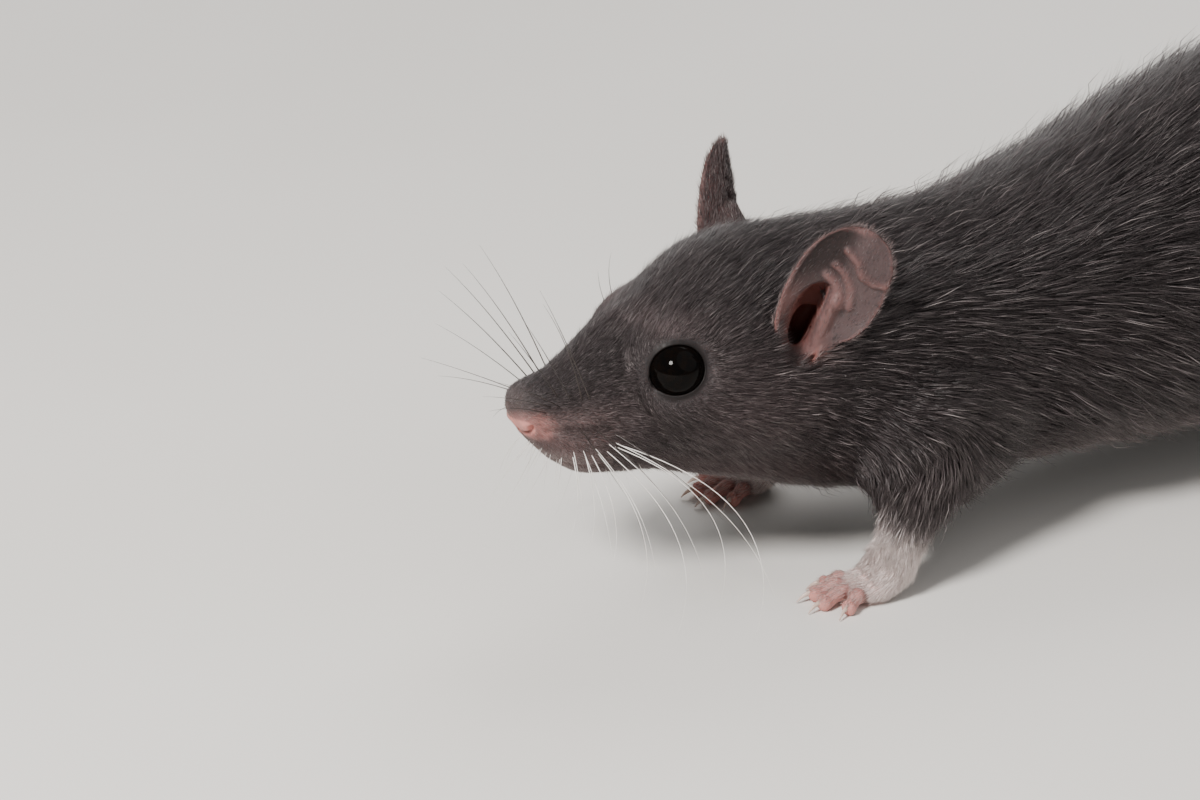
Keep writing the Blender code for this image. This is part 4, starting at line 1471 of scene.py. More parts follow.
TRUNK = (Part.BODY, Part.MUSCLE, Part.SOCKET, Part.CANAL)
COAT_REGIONS = (
    CoatRegion("coat_muzzle", TRUNK, -9, 13),
    CoatRegion("coat_face_left", TRUNK, 13, 27.5, 1),
    CoatRegion("coat_face_right", TRUNK, 13, 27.5, -1),
    CoatRegion("coat_nape", TRUNK, 27.5, 45),
    CoatRegion("coat_shoulder_left", TRUNK, 45, 80, 1),
    CoatRegion("coat_shoulder_right", TRUNK, 45, 80, -1),
    CoatRegion("coat_flank_left", TRUNK, 80, 115, 1),
    CoatRegion("coat_flank_right", TRUNK, 80, 115, -1),
    CoatRegion("coat_rump", TRUNK, 115, 300),
    CoatRegion("coat_ears", (Part.EAR, Part.LID), -9, 300),
    CoatRegion("coat_forelegs", (Part.FORELEG, Part.TOE), -9, 70),
    CoatRegion("coat_hindlegs", (Part.SHIN, Part.HINDFOOT, Part.TOE), 70, 300),
    CoatRegion("coat_tail", (Part.TAIL,), -9, 300),
)


@dataclass
class Roots:
    """Where tufts grow: place, skin normal, lie, size, place on the unwrap and markings."""

    place: Array
    normal: Array
    lie: Array
    length: Array
    unwrap: Array
    marks: dict[str, Array]
    part: Array

    def pick(self, chosen: Array) -> Roots:
        """The chosen roots only."""
        marks = {name: values[chosen] for name, values in self.marks.items()}
        kept = (self.place, self.normal, self.lie, self.length, self.unwrap)
        return Roots(*(each[chosen] for each in kept), marks, self.part[chosen])


@dataclass
class Coat:
    """A short coat of closed spikes that lie back along the body."""

    skin: Surface
    lift: float = 13.0
    guard_share: float = 0.10
    stray_share: float = 0.05
    widest: float = 0.12
    floor: float = 0.02
    seed: int = 7

    def roots(self) -> Roots:
        """Scatter roots over the skin, as many on each triangle as its area and density ask."""
        draw = np.random.default_rng(self.seed)
        skin, given = self.skin, self.skin.traits
        corners = skin.points[skin.triangles]
        sides = corners[:, 1:] - corners[:, :1]
        area = 0.5 * np.linalg.norm(np.cross(sides[:, 0], sides[:, 1]), axis=1)
        density = given.density[skin.triangles].mean(axis=1)
        density = np.where(np.isin(skin.part, (Part.SOCKET, Part.CANAL)), 0, density)
        wanted = area * density
        count = np.floor(wanted + draw.random(len(wanted))).astype(int)
        of = np.repeat(np.arange(len(count)), count)
        first, second = np.sqrt(draw.random(len(of))), draw.random(len(of))
        share = np.stack([1 - first, first * (1 - second), first * second], axis=1)

        def spread(values: Array) -> Array:
            picked = values[skin.triangles[of]]
            return np.einsum("nk,nk...->n...", share, picked)

        normal = unit(spread(skin.normals))
        lie = spread(given.flow)
        lie = unit(lie - dot(lie, normal) * normal)
        marks = {name: spread(getattr(given, name)) for name in MARKS}
        unwrap = np.einsum("nk,nkc->nc", share, skin.unwrap[of])
        return Roots(spread(skin.points), normal, lie, spread(given.length), unwrap, marks, skin.part[of])

    def spikes(self, roots: Roots, bent: bool, seed: int) -> tuple[Array, Array, Array, Array, Array]:
        """Shape one closed spike for each root.

        A spike starts from a small triangle across its lie. Its tip lies its length away along the
        lie, lifted off the skin by an angle that changes gently from place to place, and a bent
        spike leans back down past its middle.

        Args:
            roots: Where they grow.
            bent: Whether they have a bend in the middle.
            seed: For what differs from spike to spike.

        Returns:
            Points (n, k, 3), triangles of one spike, share of the length at each point, the place
            of each point in the spike's own patch, and the tone of each spike.
        """
        draw = np.random.default_rng(seed)
        count = len(roots.place)
        across = np.cross(roots.normal, roots.lie)
        swing = 0.16 * waves(roots.place, 3.4, 11) + 0.10 * waves(roots.place, 1.3, 12)
        swing = swing + draw.normal(0, 0.085, count)
        lie = np.cos(swing)[:, None] * roots.lie + np.sin(swing)[:, None] * across
        side = np.cross(roots.normal, lie)
        stir = 1 + 0.35 * waves(roots.place, 2.4, 13) + draw.normal(0, 0.28, count)
        stir = np.clip(stir, 0.25, 2) + 1.3 * (draw.random(count) < self.stray_share)
        lift = math.radians(self.lift) * stir * (1.2 if bent else 1)
        length = roots.length * draw.uniform(0.72, 1.12, count) * (1.14 if bent else 1)
        width = np.clip(0.05 + 0.018 * roots.length, 0.05, self.widest) * draw.uniform(0.75, 1.25, count)

        def along(angle: Array) -> Array:
            return np.cos(angle)[:, None] * lie + np.sin(angle)[:, None] * roots.normal

        foot = roots.place - 0.04 * roots.normal
        half = 0.5 * width[:, None] * side
        ridge = 0.45 * width[:, None] * roots.normal
        base = [foot - half, foot + half, foot + ridge]
        tone = np.clip(draw.normal(0.48, 0.27, count), 0, 1)
        if not bent:
            tip = foot + length[:, None] * along(lift)
            points = np.stack([*base, tip], axis=1)
            faces = np.array([(0, 1, 2), (0, 3, 1), (1, 3, 2), (2, 3, 0)])
            share = np.array([0.0, 0.0, 0.0, 1.0])
            local = np.array([(-0.5, -0.5), (0.5, -0.5), (0.0, -0.4), (0.0, 0.5)])
            return points, faces, share, local, tone
        middle = foot + 0.52 * length[:, None] * along(lift * 1.35)
        tip = middle + 0.5 * length[:, None] * along(lift * 0.35)
        waist = [middle - 0.8 * half, middle + 0.8 * half, middle + 0.8 * ridge]
        points = np.stack([*base, *waist, tip], axis=1)
        sides = [((a, b + 3, b), (a, a + 3, b + 3)) for a, b in ((0, 1), (1, 2), (2, 0))]
        ends = [(0, 1, 2), (3, 6, 4), (4, 6, 5), (5, 6, 3)]
        faces = np.array([*(face for pair in sides for face in pair), *ends])
        share = np.array([0.0, 0.0, 0.0, 0.52, 0.52, 0.52, 1.0])
        local = np.array(
            [(-0.5, -0.5), (0.5, -0.5), (0, -0.4), (-0.4, 0), (0.4, 0), (0, 0.1), (0, 0.5)]
        )
        return points, faces, share, local, tone

    def piece(self, region: CoatRegion, roots: Roots, material: Material) -> Piece:
        """Make one piece of the coat, with its OFBake map and its attributes.

        Args:
            region: The piece's name and place.
            roots: The roots in it.
            material: The hair's finish.

        Returns:
            The piece.
        """
        draw = np.random.default_rng(self.seed + len(region.name))
        guard = (draw.random(len(roots.place)) < self.guard_share) & (roots.length > 2.6)
        low, high = roots.unwrap.min(axis=0), roots.unwrap.max(axis=0)
        points, triangles, unwrap, start = [], [], [], 0
        values = {name: [] for name in ("tone", "tip", *roots.marks)}
        for bent, chosen in ((False, ~guard), (True, guard)):
            group = roots.pick(chosen)
            if not len(group.place):
                continue
            seed = self.seed + 3 * bent + len(region.name)
            shape, faces, share, local, tone = self.spikes(group, bent, seed)
            count, corners = shape.shape[:2]
            points.append(shape.reshape(-1, 3))
            first = start + corners * np.arange(count)
            triangles.append((faces[None] + first[:, None, None]).reshape(-1, 3))
            place = 0.005 + 0.99 * (group.unwrap - low) / (high - low)
            patch = place[:, None] + 0.003 * local[None]
            unwrap.append(patch[:, faces].reshape(-1, 3, 2))
            values["tone"].append(np.repeat(tone, corners))
            values["tip"].append(np.tile(share, count))
            for name, marks in group.marks.items():
                values[name].append(np.repeat(marks, corners))
            start += count * corners
        placed = np.concatenate(points)
        placed[:, 2] = np.maximum(placed[:, 2], self.floor)
        return write_mesh(
            region.name,
            placed,
            np.concatenate(triangles),
            material,
            np.concatenate(unwrap),
            "OFBake",
            {name: np.concatenate(each) for name, each in values.items()},
        )

    def build(self, material: Material) -> list[Piece]:
        """Make every piece of the coat."""
        roots = self.roots()
        behind = roots.place[:, 1] - SPINE.place(0)[0][1]
        left = roots.place[:, 0] > np.interp(behind, *self.middle_line())
        pieces = []
        total = 0
        for region in COAT_REGIONS:
            chosen = (behind >= region.start) & (behind < region.end) & np.isin(roots.part, region.parts)
            if region.side:
                chosen &= left == (region.side > 0)
            made = self.piece(region, roots.pick(chosen), material)
            total += len(made.data.polygons)
            pieces.append(made)
        log.info("the coat: %d tufts, %d triangles", len(roots.place), total)
        return pieces

    @staticmethod
    def middle_line() -> tuple[Array, Array]:
        """Distances back from the nose and how far left the backbone is there."""
        centre = SPINE.place(np.linspace(0, RUMP, 60))[0]
        return centre[:, 1], centre[:, 0]


# --- Whiskers ---


@dataclass(frozen=True)
class Whisker:
    """A whisker in the head's own axes: where its root is seen from the side, how it starts and ends."""

    root: tuple
    starts: tuple
    ends: tuple
    length: float


@dataclass(frozen=True)
class WhiskerRow:
    """A row of whiskers that changes evenly from its first to its last one."""

    count: int
    thickness: float
    dark: bool
    ends: tuple[Whisker, Whisker]

    def whisker(self, share: float) -> Whisker:
        """The whisker at a share of the way from the first one to the last."""
        pairs = zip(*(astuple(end) for end in self.ends))
        return Whisker(*(np.array(first) * (1 - share) + np.array(last) * share for first, last in pairs))


WHISKER_ROWS = (
    WhiskerRow(8, 0.052, False, (
        Whisker((4.2, -5.3), (-0.33, 0.60, -0.82), (-0.56, 0.30, -0.80), 6),
        Whisker((9.2, -4.2), (0.70, 0.74, -0.22), (-0.45, 0.15, -0.85), 28),
    )),
    WhiskerRow(5, 0.046, False, (
        Whisker((4.6, -4.4), (-0.20, 0.75, -0.55), (-0.1, 0.4, -0.9), 10),
        Whisker((8.7, -3.6), (0.60, 0.74, -0.34), (0.10, 0.25, -0.95), 24),
    )),
    WhiskerRow(3, 0.055, True, (
        Whisker((5.4, -2.3), (-0.1, 0.95, -0.2), (0.1, 0.8, -0.6), 13),
        Whisker((8.7, -2.5), (0.60, 0.74, -0.40), (0.5, 0.45, -0.75), 17),
    )),
    WhiskerRow(4, 0.070, True, (
        Whisker((4.3, 0.7), (-0.52, 0.33, 0.79), (-0.62, 0.30, 0.72), 14),
        Whisker((7, 0.3), (-0.31, 0.35, 0.89), (-0.50, 0.30, 0.80), 17),
    )),
    WhiskerRow(3, 0.050, True, (
        Whisker((3, -0.5), (-0.85, 0.35, 0.35), (-0.90, 0.35, 0.10), 9),
        Whisker((4.2, 0.1), (-0.72, 0.40, 0.60), (-0.80, 0.40, 0.45), 13),
    )),
    WhiskerRow(8, 0.032, False, (
        Whisker((1.8, -4), (-0.75, 0.35, -0.55), (-0.6, 0.35, -0.7), 1.6),
        Whisker((4.4, -6), (-0.35, 0.45, -0.85), (-0.3, 0.3, -0.9), 3.6),
    )),
    WhiskerRow(2, 0.045, True, (
        Whisker((13.4, 6.9), (-0.1, 0.55, 0.85), (0.25, 0.45, 0.85), 4.5),
        Whisker((14.6, 7.3), (0.10, 0.50, 0.85), (0.45, 0.35, 0.80), 6),
    )),
    WhiskerRow(2, 0.042, True, (
        Whisker((20.5, -3.8), (0.70, 0.60, -0.10), (0.95, 0.25, -0.25), 6),
        Whisker((22.5, -3), (0.75, 0.60, 0.00), (0.95, 0.20, -0.20), 7),
    )),
    WhiskerRow(3, 0.034, False, (
        Whisker((8.5, -7.2), (0.05, 0.35, -0.93), (0.45, 0.25, -0.85), 3),
        Whisker((12, -7.4), (0.25, 0.35, -0.90), (0.65, 0.25, -0.70), 4),
    )),
)


@dataclass
class Whiskers:
    """Tapered whiskers on both sides of the face."""

    skin: Surface
    steps: int = 22
    floor: float = 0.5
    seed: int = 5

    def root(self, side: int, seen: Array, measures: Array) -> Array:
        """The place just under the skin that is seen at (behind, over) from one side."""
        away = np.linalg.norm(measures[:, [0, 2]] - seen, axis=1) + 50 * (measures[:, 1] * side < 0.3)
        nearest = np.argmin(away)
        return self.skin.points[nearest] - 0.3 * self.skin.normals[nearest]

    def line(self, whisker: Whisker, side: int, draw: np.random.Generator, measures: Array) -> Array:
        """The line of one whisker: steps whose direction turns smoothly from its start to its end.

        Args:
            whisker: Its root, directions and length.
            side: 1 on the left, -1 on the right.
            draw: For small differences.
            measures: The head's own measures of the skin's points.

        Returns:
            Points from just under the skin to the tip.
        """
        mirror = np.array([1.0, side, 1.0])
        jitter = draw.normal(0, 0.05, (2, 3))
        start = unit(np.array(whisker.starts) * mirror + jitter[0])
        end = unit(np.array(whisker.ends) * mirror + jitter[1])
        turn = np.linspace(0, 1, self.steps)[:, None] ** 1.6
        ways = SPINE.head_direction(unit(start + turn * (end - start)))
        seen = np.array(whisker.root) + draw.normal(0, 0.12, 2)
        step = whisker.length * draw.uniform(0.9, 1.1) / self.steps
        line = self.root(side, seen, measures) + np.cumsum(ways * step, axis=0) - (0.2 + step) * ways[0]
        line[:, 2] = np.maximum(line[:, 2], self.floor)
        return line

    def build(self, dark: bool, material: Material) -> Piece:
        """Join all dark or all pale whiskers into one piece.

        Args:
            dark: Which of them.
            material: Their finish.

        Returns:
            The piece.
        """
        measures = SPINE.head_measures(self.skin.points)
        draw = np.random.default_rng(self.seed + dark)
        rows = [row for row in WHISKER_ROWS if row.dark == dark]
        reach = np.linspace(0, 1, self.steps)
        forms = []
        for side in SIDES.values():
            for row in rows:
                for share in np.linspace(0, 1, row.count):
                    line = self.line(row.whisker(share), side, draw, measures)
                    taper = 0.006 + row.thickness * (1 - reach) ** 0.8 * ramp(reach, -0.06, 0.08)
                    sizes = np.stack([taper, taper], 1)
                    rings = tube_rings(line, sizes, (0.3, 0.2, 0.9), 5, np.arange(float(self.steps)))
                    middle = rings.mean(axis=1, keepdims=True)
                    forms.append(plain(middle + unit(rings - middle) * taper[:, None, None]))
        name = "whiskers_dark" if dark else "whiskers_pale"
        return write_mesh(name, *together(forms), material)


# --- Finishes ---


class Graph:
    """A short way to place and join shader nodes in one tree."""

    def __init__(self, tree: bpy.types.NodeTree) -> None:
        """Keep the tree."""
        self.tree = tree

    def add(self, kind: str, **settings) -> bpy.types.Node:
        """Place a node and set its properties."""
        node = self.tree.nodes.new(f"ShaderNode{kind}")
        for name, value in settings.items():
            setattr(node, name, value)
        return node

    def feed(self, socket: Socket, value: Input) -> None:
        """Link a socket to an input, or set the input to a number or colour."""
        if isinstance(value, Socket):
            self.tree.links.new(value, socket)
        else:
            socket.default_value = (*value, 1) if socket.type == "RGBA" else value

    def fill(self, node: bpy.types.Node, inputs: dict) -> None:
        """Link or set several inputs of a node by their names."""
        for name, value in inputs.items():
            self.feed(node.inputs[name], value)

    def math(self, operation: str, *values: Input) -> Socket:
        """A Math node's result; Clamp is on."""
        node = self.add("Math", operation=operation, use_clamp=True)
        for socket, value in zip(node.inputs, values):
            self.feed(socket, value)
        return node.outputs[0]

    def mix(self, share: Input, first: Input, second: Input, blend: str = "MIX") -> Socket:
        """A mix of two colours."""
        node = self.add("Mix", data_type="RGBA", blend_type=blend)
        for name, value in (("Factor_Float", share), ("A_Color", first), ("B_Color", second)):
            self.feed(next(s for s in node.inputs if s.identifier == name), value)
        return next(s for s in node.outputs if s.identifier == "Result_Color")

    def attribute(self, name: str) -> Socket:
        """A value that the mesh carries at its points."""
        return self.add("Attribute", attribute_type="GEOMETRY", attribute_name=name).outputs["Fac"]

    def noise(self, scale: float, detail: float, vector: Socket, roughness: float = 0.5) -> Socket:
        """A noise's value at coordinates."""
        node = self.add("TexNoise")
        self.fill(node, {"Scale": scale, "Detail": detail, "Roughness": roughness, "Vector": vector})
        return node.outputs["Fac"]

    def spread(self, value: Socket, low: float, high: float, least: float = 0.0, most: float = 1.0) -> Socket:
        """Map a value from one range to another, smoothly and clamped."""
        node = self.add("MapRange", interpolation_type="SMOOTHSTEP")
        for socket, number in zip(node.inputs, (value, low, high, least, most)):
            self.feed(socket, number)
        return node.outputs[0]

    def stretched(self, vector: Socket, scale: tuple) -> Socket:
        """Coordinates scaled by a Mapping node."""
        node = self.add("Mapping")
        self.fill(node, {"Vector": vector, "Scale": scale})
        return node.outputs["Vector"]


MARKING_AND_SHADE_COLOURS = ("Ground", "Pale Colour", "White Colour", "Pink Colour", "Dark Colour", "Shaded Hollow Colour")


def new_group(name: str, amounts: tuple[str, ...], colours: tuple[str, ...]) -> tuple[Graph, dict, Socket]:
    """Start a shader node group that puts out one colour.

    Args:
        name: Name of the group.
        amounts: Names of its inputs that are numbers.
        colours: Names of its inputs that are colours.

    Returns:
        Its graph, its inputs by name, and where its colour goes.
    """
    tree = bpy.data.node_groups.new(name, "ShaderNodeTree")
    for label in amounts:
        tree.interface.new_socket(label, in_out="INPUT", socket_type="NodeSocketFloat")
    for label in colours:
        tree.interface.new_socket(label, in_out="INPUT", socket_type="NodeSocketColor")
    tree.interface.new_socket("Colour", in_out="OUTPUT", socket_type="NodeSocketColor")
    given, out = tree.nodes.new("NodeGroupInput").outputs, tree.nodes.new("NodeGroupOutput").inputs
    return Graph(tree), given, out["Colour"]


def markings_and_shade_group() -> bpy.types.NodeTree:
    """The rat's markings: ground, paler face, white feet, pink skin and dark rims, with painted shade in
    hollows.
    """
    graph, given, out = new_group("rat markings and painted shade", tuple(name.title() for name in MARKS), MARKING_AND_SHADE_COLOURS)
    ground = graph.mix(given["Pale"], given["Ground"], given["Pale Colour"])
    ground = graph.mix(given["White"], ground, given["White Colour"])
    ground = graph.mix(given["Pink"], ground, given["Pink Colour"])
    # Painted shade: where pink skin lies in a hollow, Dark turns it to the shaded hollow colour instead of
    # the dark colour.
    hollow = graph.mix(given["Pink"], given["Dark Colour"], given["Shaded Hollow Colour"])
    graph.feed(out, graph.mix(given["Dark"], ground, hollow))
    return graph.tree


def unevenness_group() -> bpy.types.NodeTree:
    """Soft blotches over a colour: a slow and a fine noise that darken and lighten it."""
    graph, given, out = new_group("soft unevenness", ("Strength",), ("Colour",))
    place = graph.add("TexCoord").outputs["Object"]
    slow = graph.spread(graph.noise(140, 2, place), 0.3, 0.7, 0, 1)
    fine = graph.spread(graph.noise(900, 3, place), 0.3, 0.7, 0, 1)
    both = graph.math("ADD", graph.math("MULTIPLY", slow, 0.6), graph.math("MULTIPLY", fine, 0.4))
    darker = graph.mix(1, given["Colour"], (0.72, 0.70, 0.70), "MULTIPLY")
    lighter = graph.mix(1, given["Colour"], (1.25, 1.22, 1.22), "MULTIPLY")
    changed = graph.mix(both, darker, lighter)
    graph.feed(out, graph.mix(given["Strength"], given["Colour"], changed))
    return graph.tree


@dataclass(frozen=True)
class Palette:
    """Colours of the markings on one kind of surface, as linear light; dark serves the lids' dark rims and
    painted shade, and the shaded hollow colour is painted shade on pink skin.
    """

    ground: Colour
    pale: Colour
    white: Colour
    pink: Colour
    dark: Colour
    shaded_hollow: Colour

    def placed(self, graph: Graph, groups: dict, strength: float) -> Socket:
        """Place the markings, with their painted shade in hollows, and the soft unevenness in a material.

        Args:
            graph: The material's nodes.
            groups: The shader node groups by name.
            strength: Of the unevenness.

        Returns:
            The colour that the mesh's attributes give.
        """
        node = graph.add("Group", node_tree=groups["markings"])
        graph.fill(node, {name.title(): graph.attribute(name) for name in MARKS})
        graph.fill(node, dict(zip(MARKING_AND_SHADE_COLOURS, astuple(self))))
        soft = graph.add("Group", node_tree=groups["unevenness"])
        graph.fill(soft, {"Colour": node.outputs["Colour"], "Strength": strength})
        return soft.outputs["Colour"]


def new_material(name: str) -> tuple[Material, Graph, bpy.types.Node]:
    """An empty material with its node graph and its shader."""
    material = bpy.data.materials.new(name)
    material.use_nodes = True
    return material, Graph(material.node_tree), material.node_tree.nodes["Principled BSDF"]


@dataclass(frozen=True)
class SkinFinish:
    """Soft skin: grey under the coat, pink where bare, dark at the lids' rims, with painted shade in the
    ears, the eye sockets and the nostrils.
    """

    palette: Palette = Palette(
        ground=(0.034, 0.028, 0.029),
        pale=(0.095, 0.070, 0.072),
        white=(0.68, 0.53, 0.50),
        pink=(0.52, 0.225, 0.200),
        dark=(0.008, 0.006, 0.006),
        # Painted shade: pink skin darkened in the ears' hollows and canals and in the nostrils.
        shaded_hollow=(0.060, 0.015, 0.012),
    )
    roughness: float = 0.55
    bump_height: float = 0.00008

    def material(self, groups: dict) -> Material:
        """Markings, streaks along the lie of the coat, and fine creases where the skin is bare."""
        material, graph, shader = new_material("rat skin")
        colour = self.palette.placed(graph, groups, 0.5)
        unwrap = graph.add("UVMap", uv_map="Wrap").outputs["UV"]
        streaks = graph.noise(1, 3, graph.stretched(unwrap, (110, 900, 1)))
        furred = graph.attribute("furred")
        darker = graph.mix(1, colour, (0.45, 0.43, 0.44), "MULTIPLY")
        streaky = graph.math("MULTIPLY", graph.spread(streaks, 0.65, 0.3), furred)
        streaked = graph.mix(streaky, colour, darker)
        place = graph.add("TexCoord").outputs["Object"]
        creases = graph.noise(2600, 4, place, 0.6)
        ribs = graph.math("MULTIPLY", streaks, furred)
        height = graph.math("ADD", ribs, graph.math("MULTIPLY", creases, 0.5))
        bump = graph.add("Bump")
        graph.fill(bump, {"Strength": 0.7, "Distance": self.bump_height, "Height": height})
        least, most = self.roughness - 0.1, self.roughness + 0.1
        looks = {
            "Base Color": streaked,
            "Normal": bump.outputs["Normal"],
            "Roughness": graph.spread(creases, 0.3, 0.7, least, most),
            "Subsurface Weight": 0.18,
            "Subsurface Radius": (1, 0.35, 0.25),
            "Subsurface Scale": 0.0009,
            "Specular IOR Level": 0.2,
        }
        graph.fill(shader, looks)
        return material


@dataclass(frozen=True)
class CoatFinish:
    """Hair: the same markings, with painted shade darkening each tuft towards its root, each tuft with a tone
    of its own.
    """

    palette: Palette = Palette(
        ground=(0.060, 0.049, 0.050),
        pale=(0.150, 0.115, 0.114),
        white=(0.90, 0.82, 0.80),
        pink=(0.50, 0.36, 0.33),
        dark=(0.016, 0.013, 0.013),
        # Painted shade: hair darkened in the ears' hollows.
        shaded_hollow=(0.10, 0.04, 0.035),
    )

    def material(self, groups: dict) -> Material:
        """Tone multiplies the markings, the root is darkened as painted shade, less on white tufts, and the
        palest tufts end in light grey tips.
        """
        material, graph, shader = new_material("grey coat hair")
        colour = self.palette.placed(graph, groups, 0.35)
        tone, tip = graph.attribute("tone"), graph.attribute("tip")
        white = graph.attribute("white")
        lowest = graph.mix(white, (0.42, 0.40, 0.41), (0.88, 0.85, 0.84))
        highest = graph.mix(white, (1.75, 1.75, 1.78), (1.05, 1.05, 1.05))
        dullest, brightest = (graph.mix(1, colour, by, "MULTIPLY") for by in (lowest, highest))
        toned = graph.mix(graph.spread(tone, 0, 1), dullest, brightest)
        # Painted shade: each tuft is multiplied by the lowest factor at its root and reaches its own tone
        # towards the tip.
        shaded = graph.mix(graph.spread(tip, 0, 0.7), graph.mix(1, toned, lowest, "MULTIPLY"), toned)
        silver = graph.math("MULTIPLY", graph.spread(tone, 0.72, 0.95), graph.spread(tip, 0.2, 0.9))
        silvered = graph.mix(graph.math("MULTIPLY", silver, 0.62), shaded, (0.40, 0.36, 0.35))
        graph.fill(shader, {"Base Color": silvered, "Roughness": 0.42, "Specular IOR Level": 0.45})
        return material


@dataclass(frozen=True)
class MottledFinish:
    """Two shades mixed by a noise in the piece's own coordinates: horn, a wet eye, the floor."""

    name: str
    shades: tuple[Colour, Colour]
    grain: tuple[float, float]
    low: float = 0.3
    looks: tuple = (("Roughness", 0.35),)

    def material(self) -> Material:
        """Mix the shades and set the shader's other inputs."""
        material, graph, shader = new_material(self.name)
        place = graph.add("TexCoord").outputs["Object"]
        share = graph.spread(graph.noise(*self.grain, place), self.low, 0.7)
        graph.fill(shader, {"Base Color": graph.mix(share, *self.shades), **dict(self.looks)})
        return material


WET_EYE = MottledFinish(
    "wet black eye",
    ((0.0015, 0.0013, 0.0013), (0.0030, 0.0018, 0.0013)),
    (1500, 3),
    0.35,
    (("Roughness", 0.04), ("IOR", 1.38), ("Specular IOR Level", 0.10)),
)
CLAW_HORN = MottledFinish("claw horn", ((0.50, 0.36, 0.30), (0.62, 0.50, 0.44)), (420, 2))
PALE_WHISKER = MottledFinish("pale whisker", ((0.62, 0.58, 0.55), (0.80, 0.77, 0.74)), (420, 2))
DARK_WHISKER = MottledFinish("dark whisker", ((0.020, 0.015, 0.014), (0.045, 0.034, 0.030)), (420, 2))
PALE_FLOOR = MottledFinish(
    "pale floor", ((0.74, 0.72, 0.69), (0.78, 0.76, 0.735)), (9, 3), looks=(("Roughness", 0.75),)
)


# --- Studio ---


@dataclass(frozen=True)
class SoftBox:
    """A round soft light: its direction and distance from the head, in metres, its size and power."""

    name: str
    azimuth: float
    elevation: float
    distance: float
    size: float
    watts: float
    colour: Colour = (1, 1, 1)


@dataclass(frozen=True)
class Studio:
    """A plain pale floor, soft lights and the camera."""

    azimuth: float = 57.0
    elevation: float = 24.0
    distance: float = 433.0
    shift_right: float = 9.3
    shift_up: float = 0.5
    lens: float = 130.0
    sensor: float = 36.0
    floor_side: float = 12.0
    boxes: tuple = (
        SoftBox("key", 24, 44, 0.55, 0.14, 5.4, (1, 0.965, 0.925)),
        SoftBox("fill", 118, 44, 0.9, 1.5, 3.2, (1, 0.98, 0.96)),
        SoftBox("rim", 215, 40, 0.8, 0.5, 3.2, (1, 0.98, 0.96)),
    )

    @staticmethod
    def way(azimuth: float, elevation: float) -> Array:
        """Direction from the model; azimuth 0 is in front of the rat and 90 is on its left."""
        a, e = math.radians(azimuth), math.radians(elevation)
        return np.array([math.sin(a) * math.cos(e), -math.cos(a) * math.cos(e), math.sin(e)])

    @staticmethod
    def point(made: Piece, place: Array, way: Array) -> None:
        """Put a light or a camera at a place, in metres, and turn it to look along a direction."""
        made.location = place
        made.rotation_euler = Vector(way).to_track_quat("-Z", "Y").to_euler()

    def camera(self) -> None:
        """Set the camera in front of the rat's left side, looking down a little."""
        back = self.way(self.azimuth, self.elevation)
        turn = math.radians(self.azimuth)
        right = np.array([math.cos(turn), math.sin(turn), 0.0])
        up = np.cross(back, right)
        nose = SPINE.head_point((0, 0, 0)) - MIDDLE
        place = nose + self.distance * back + self.shift_right * right + self.shift_up * up
        data = bpy.data.cameras.new("camera")
        data.lens, data.sensor_width = self.lens, self.sensor
        data.clip_start, data.clip_end = 0.01, 20
        made = linked("camera", data)
        self.point(made, place * MM, -back)
        bpy.context.scene.camera = made

    def lights(self) -> None:
        """Place the soft lights round the head and set an even, faintly warm surrounding."""
        head = (SPINE.head_point((18, 0, 0)) - MIDDLE) * MM
        for box in self.boxes:
            data = bpy.data.lights.new(box.name, "AREA")
            data.shape, data.size, data.energy, data.color = "DISK", box.size, box.watts, box.colour
            way = self.way(box.azimuth, box.elevation)
            self.point(linked(box.name, data), head + box.distance * way, -way)
        world = bpy.data.worlds.new("studio")
        world.use_nodes = True
        background = world.node_tree.nodes["Background"]
        background.inputs["Color"].default_value = (1, 0.99, 0.97, 1)
        background.inputs["Strength"].default_value = 0.26
        bpy.context.scene.world = world

    def floor(self) -> None:
        """A wide floor with faint mottling."""
        side = 0.5 * self.floor_side / MM
        corners = side * np.array([(-1, -1, 0), (1, -1, 0), (1, 1, 0), (-1, 1, 0)]) + MIDDLE
        write_mesh("floor", corners, np.array([(0, 1, 2), (0, 2, 3)]), PALE_FLOOR.material())


# --- Putting it together ---


FLESH = (
    "head neck trunk ear_left ear_right foreleg_left foreleg_right forefoot_left forefoot_right "
    "hindleg_left hindleg_right hindfoot_left hindfoot_right tail_base tail_middle tail_end"
).split()


def finish_piece(piece: Piece) -> None:
    """Let a piece ride on the body and report it."""
    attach(piece, "root")
    log.info("%s: %d triangles", piece.name, len(piece.data.polygons))


def build_eyes(eye: Eye, material: Material) -> None:
    """Both eyeballs, in place of the plain ones."""
    for label, side in SIDES.items():
        rings = ball(eye.centre(side), eye.axis(side), eye.radius, 96, 64)
        piece = write_mesh(f"eyeball_{label}", *together([plain(rings)]), material)
        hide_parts(f"eye_{label}")
        finish_piece(piece)


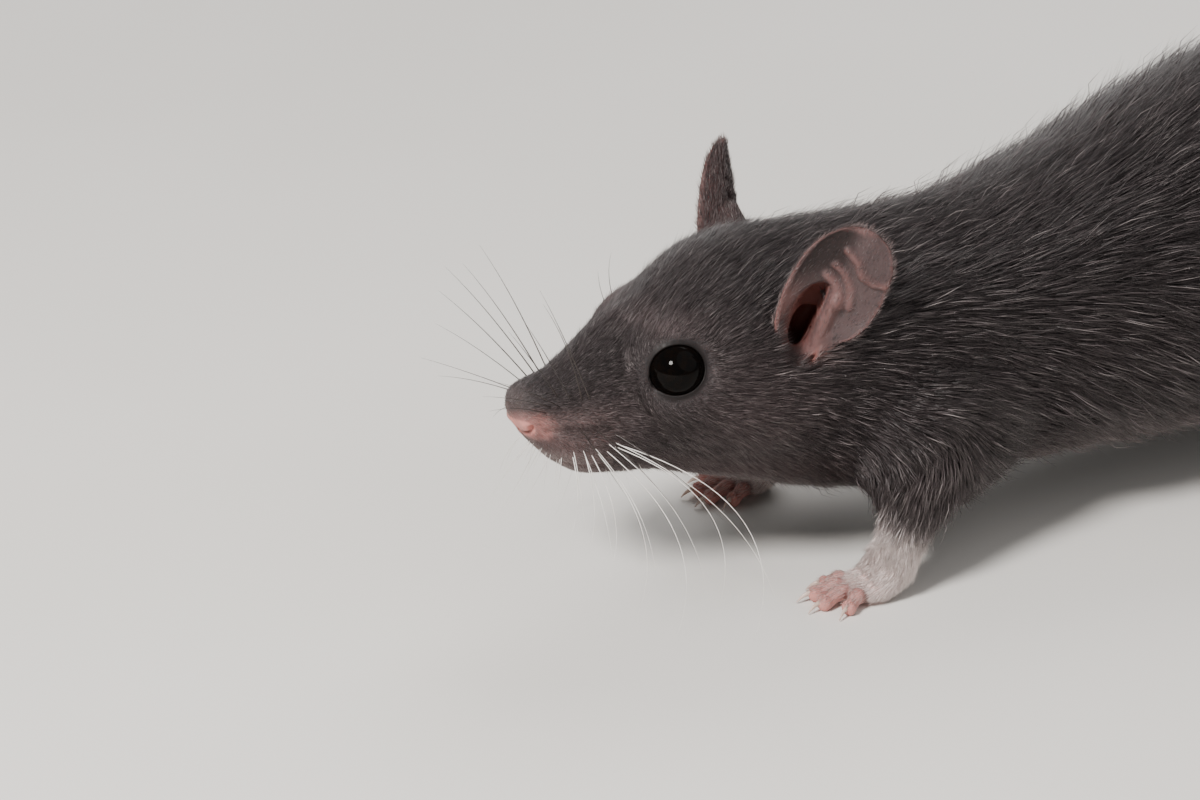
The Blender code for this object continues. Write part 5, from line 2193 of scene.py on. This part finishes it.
def build_claws(feet: dict[str, list[Limb]], material: Material) -> None:
    """The claws of each foot as one piece."""
    for name, pair in feet.items():
        for label, limb in zip(SIDES, pair):
            piece = write_mesh(f"claws_{name}_{label}", *limb.claws(), material)
            finish_piece(piece)


def main() -> None:
    """Build the skin, eyes, claws, whiskers and coat, and light them."""
    logging.basicConfig(level=logging.INFO, format="%(name)s: %(message)s")
    groups = {"markings": markings_and_shade_group(), "unevenness": unevenness_group()}
    eye = Eye()
    ears = [
        Ear(1, (30.2, 9.7, 3.8), (0.14, 0.42, 0.90)),
        Ear(
            side=-1,
            base=(31.2, 6.6, 7.2),
            up=(-0.08, 0.43, 0.92),
            across=(0.50, 0.86, -0.10),
            hollow_depth=1.3,
            front_curl=(120, 105, 98, 85, 72, 62, 58, 52),
            rear_curl=(50, 40, 28, 20, 15, 12, 10, 8),
        ),
    ]
    front, hind, shanks = forelegs(), hindfeet(), shins()
    limbs = [*front, *shanks, *hind]
    grafts = [muscle.form() for muscle in muscles()]
    grafts += [limb.form() for limb in limbs] + [Tail().form()]
    grafts += [toe for limb in (*front, *hind) for toe in limb.toes()]
    grafts += [ear.form() for ear in ears]
    steps = (
        ("DIFFERENCE", [ear.pocket() for ear in ears]),
        ("UNION", grafts),
        ("DIFFERENCE", [ear.canal() for ear in ears] + [socket(eye, side) for side in SIDES.values()]),
        ("UNION", [lid(eye, side) for side in SIDES.values()]),
    )
    surface = Skin(Torso(eye).form(ears), steps).build()
    values = {name: np.clip(getattr(surface.traits, name), 0, 1) for name in MARKS}
    values["furred"] = np.clip(surface.traits.density / FULL_COAT, 0, 1)
    bare = SkinFinish().material(groups)
    skin = write_mesh("skin", surface.points, surface.triangles, bare, surface.unwrap, values=values)
    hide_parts(*FLESH)
    finish_piece(skin)
    build_eyes(eye, WET_EYE.material())
    build_claws({"fore": front, "hind": hind}, CLAW_HORN.material())
    for dark, horn in ((False, PALE_WHISKER), (True, DARK_WHISKER)):
        finish_piece(Whiskers(surface).build(dark, horn.material()))
    for piece in Coat(surface).build(CoatFinish().material(groups)):
        finish_piece(piece)
    studio = Studio()
    studio.floor()
    studio.lights()
    studio.camera()


if __name__ == "__main__":
    main()
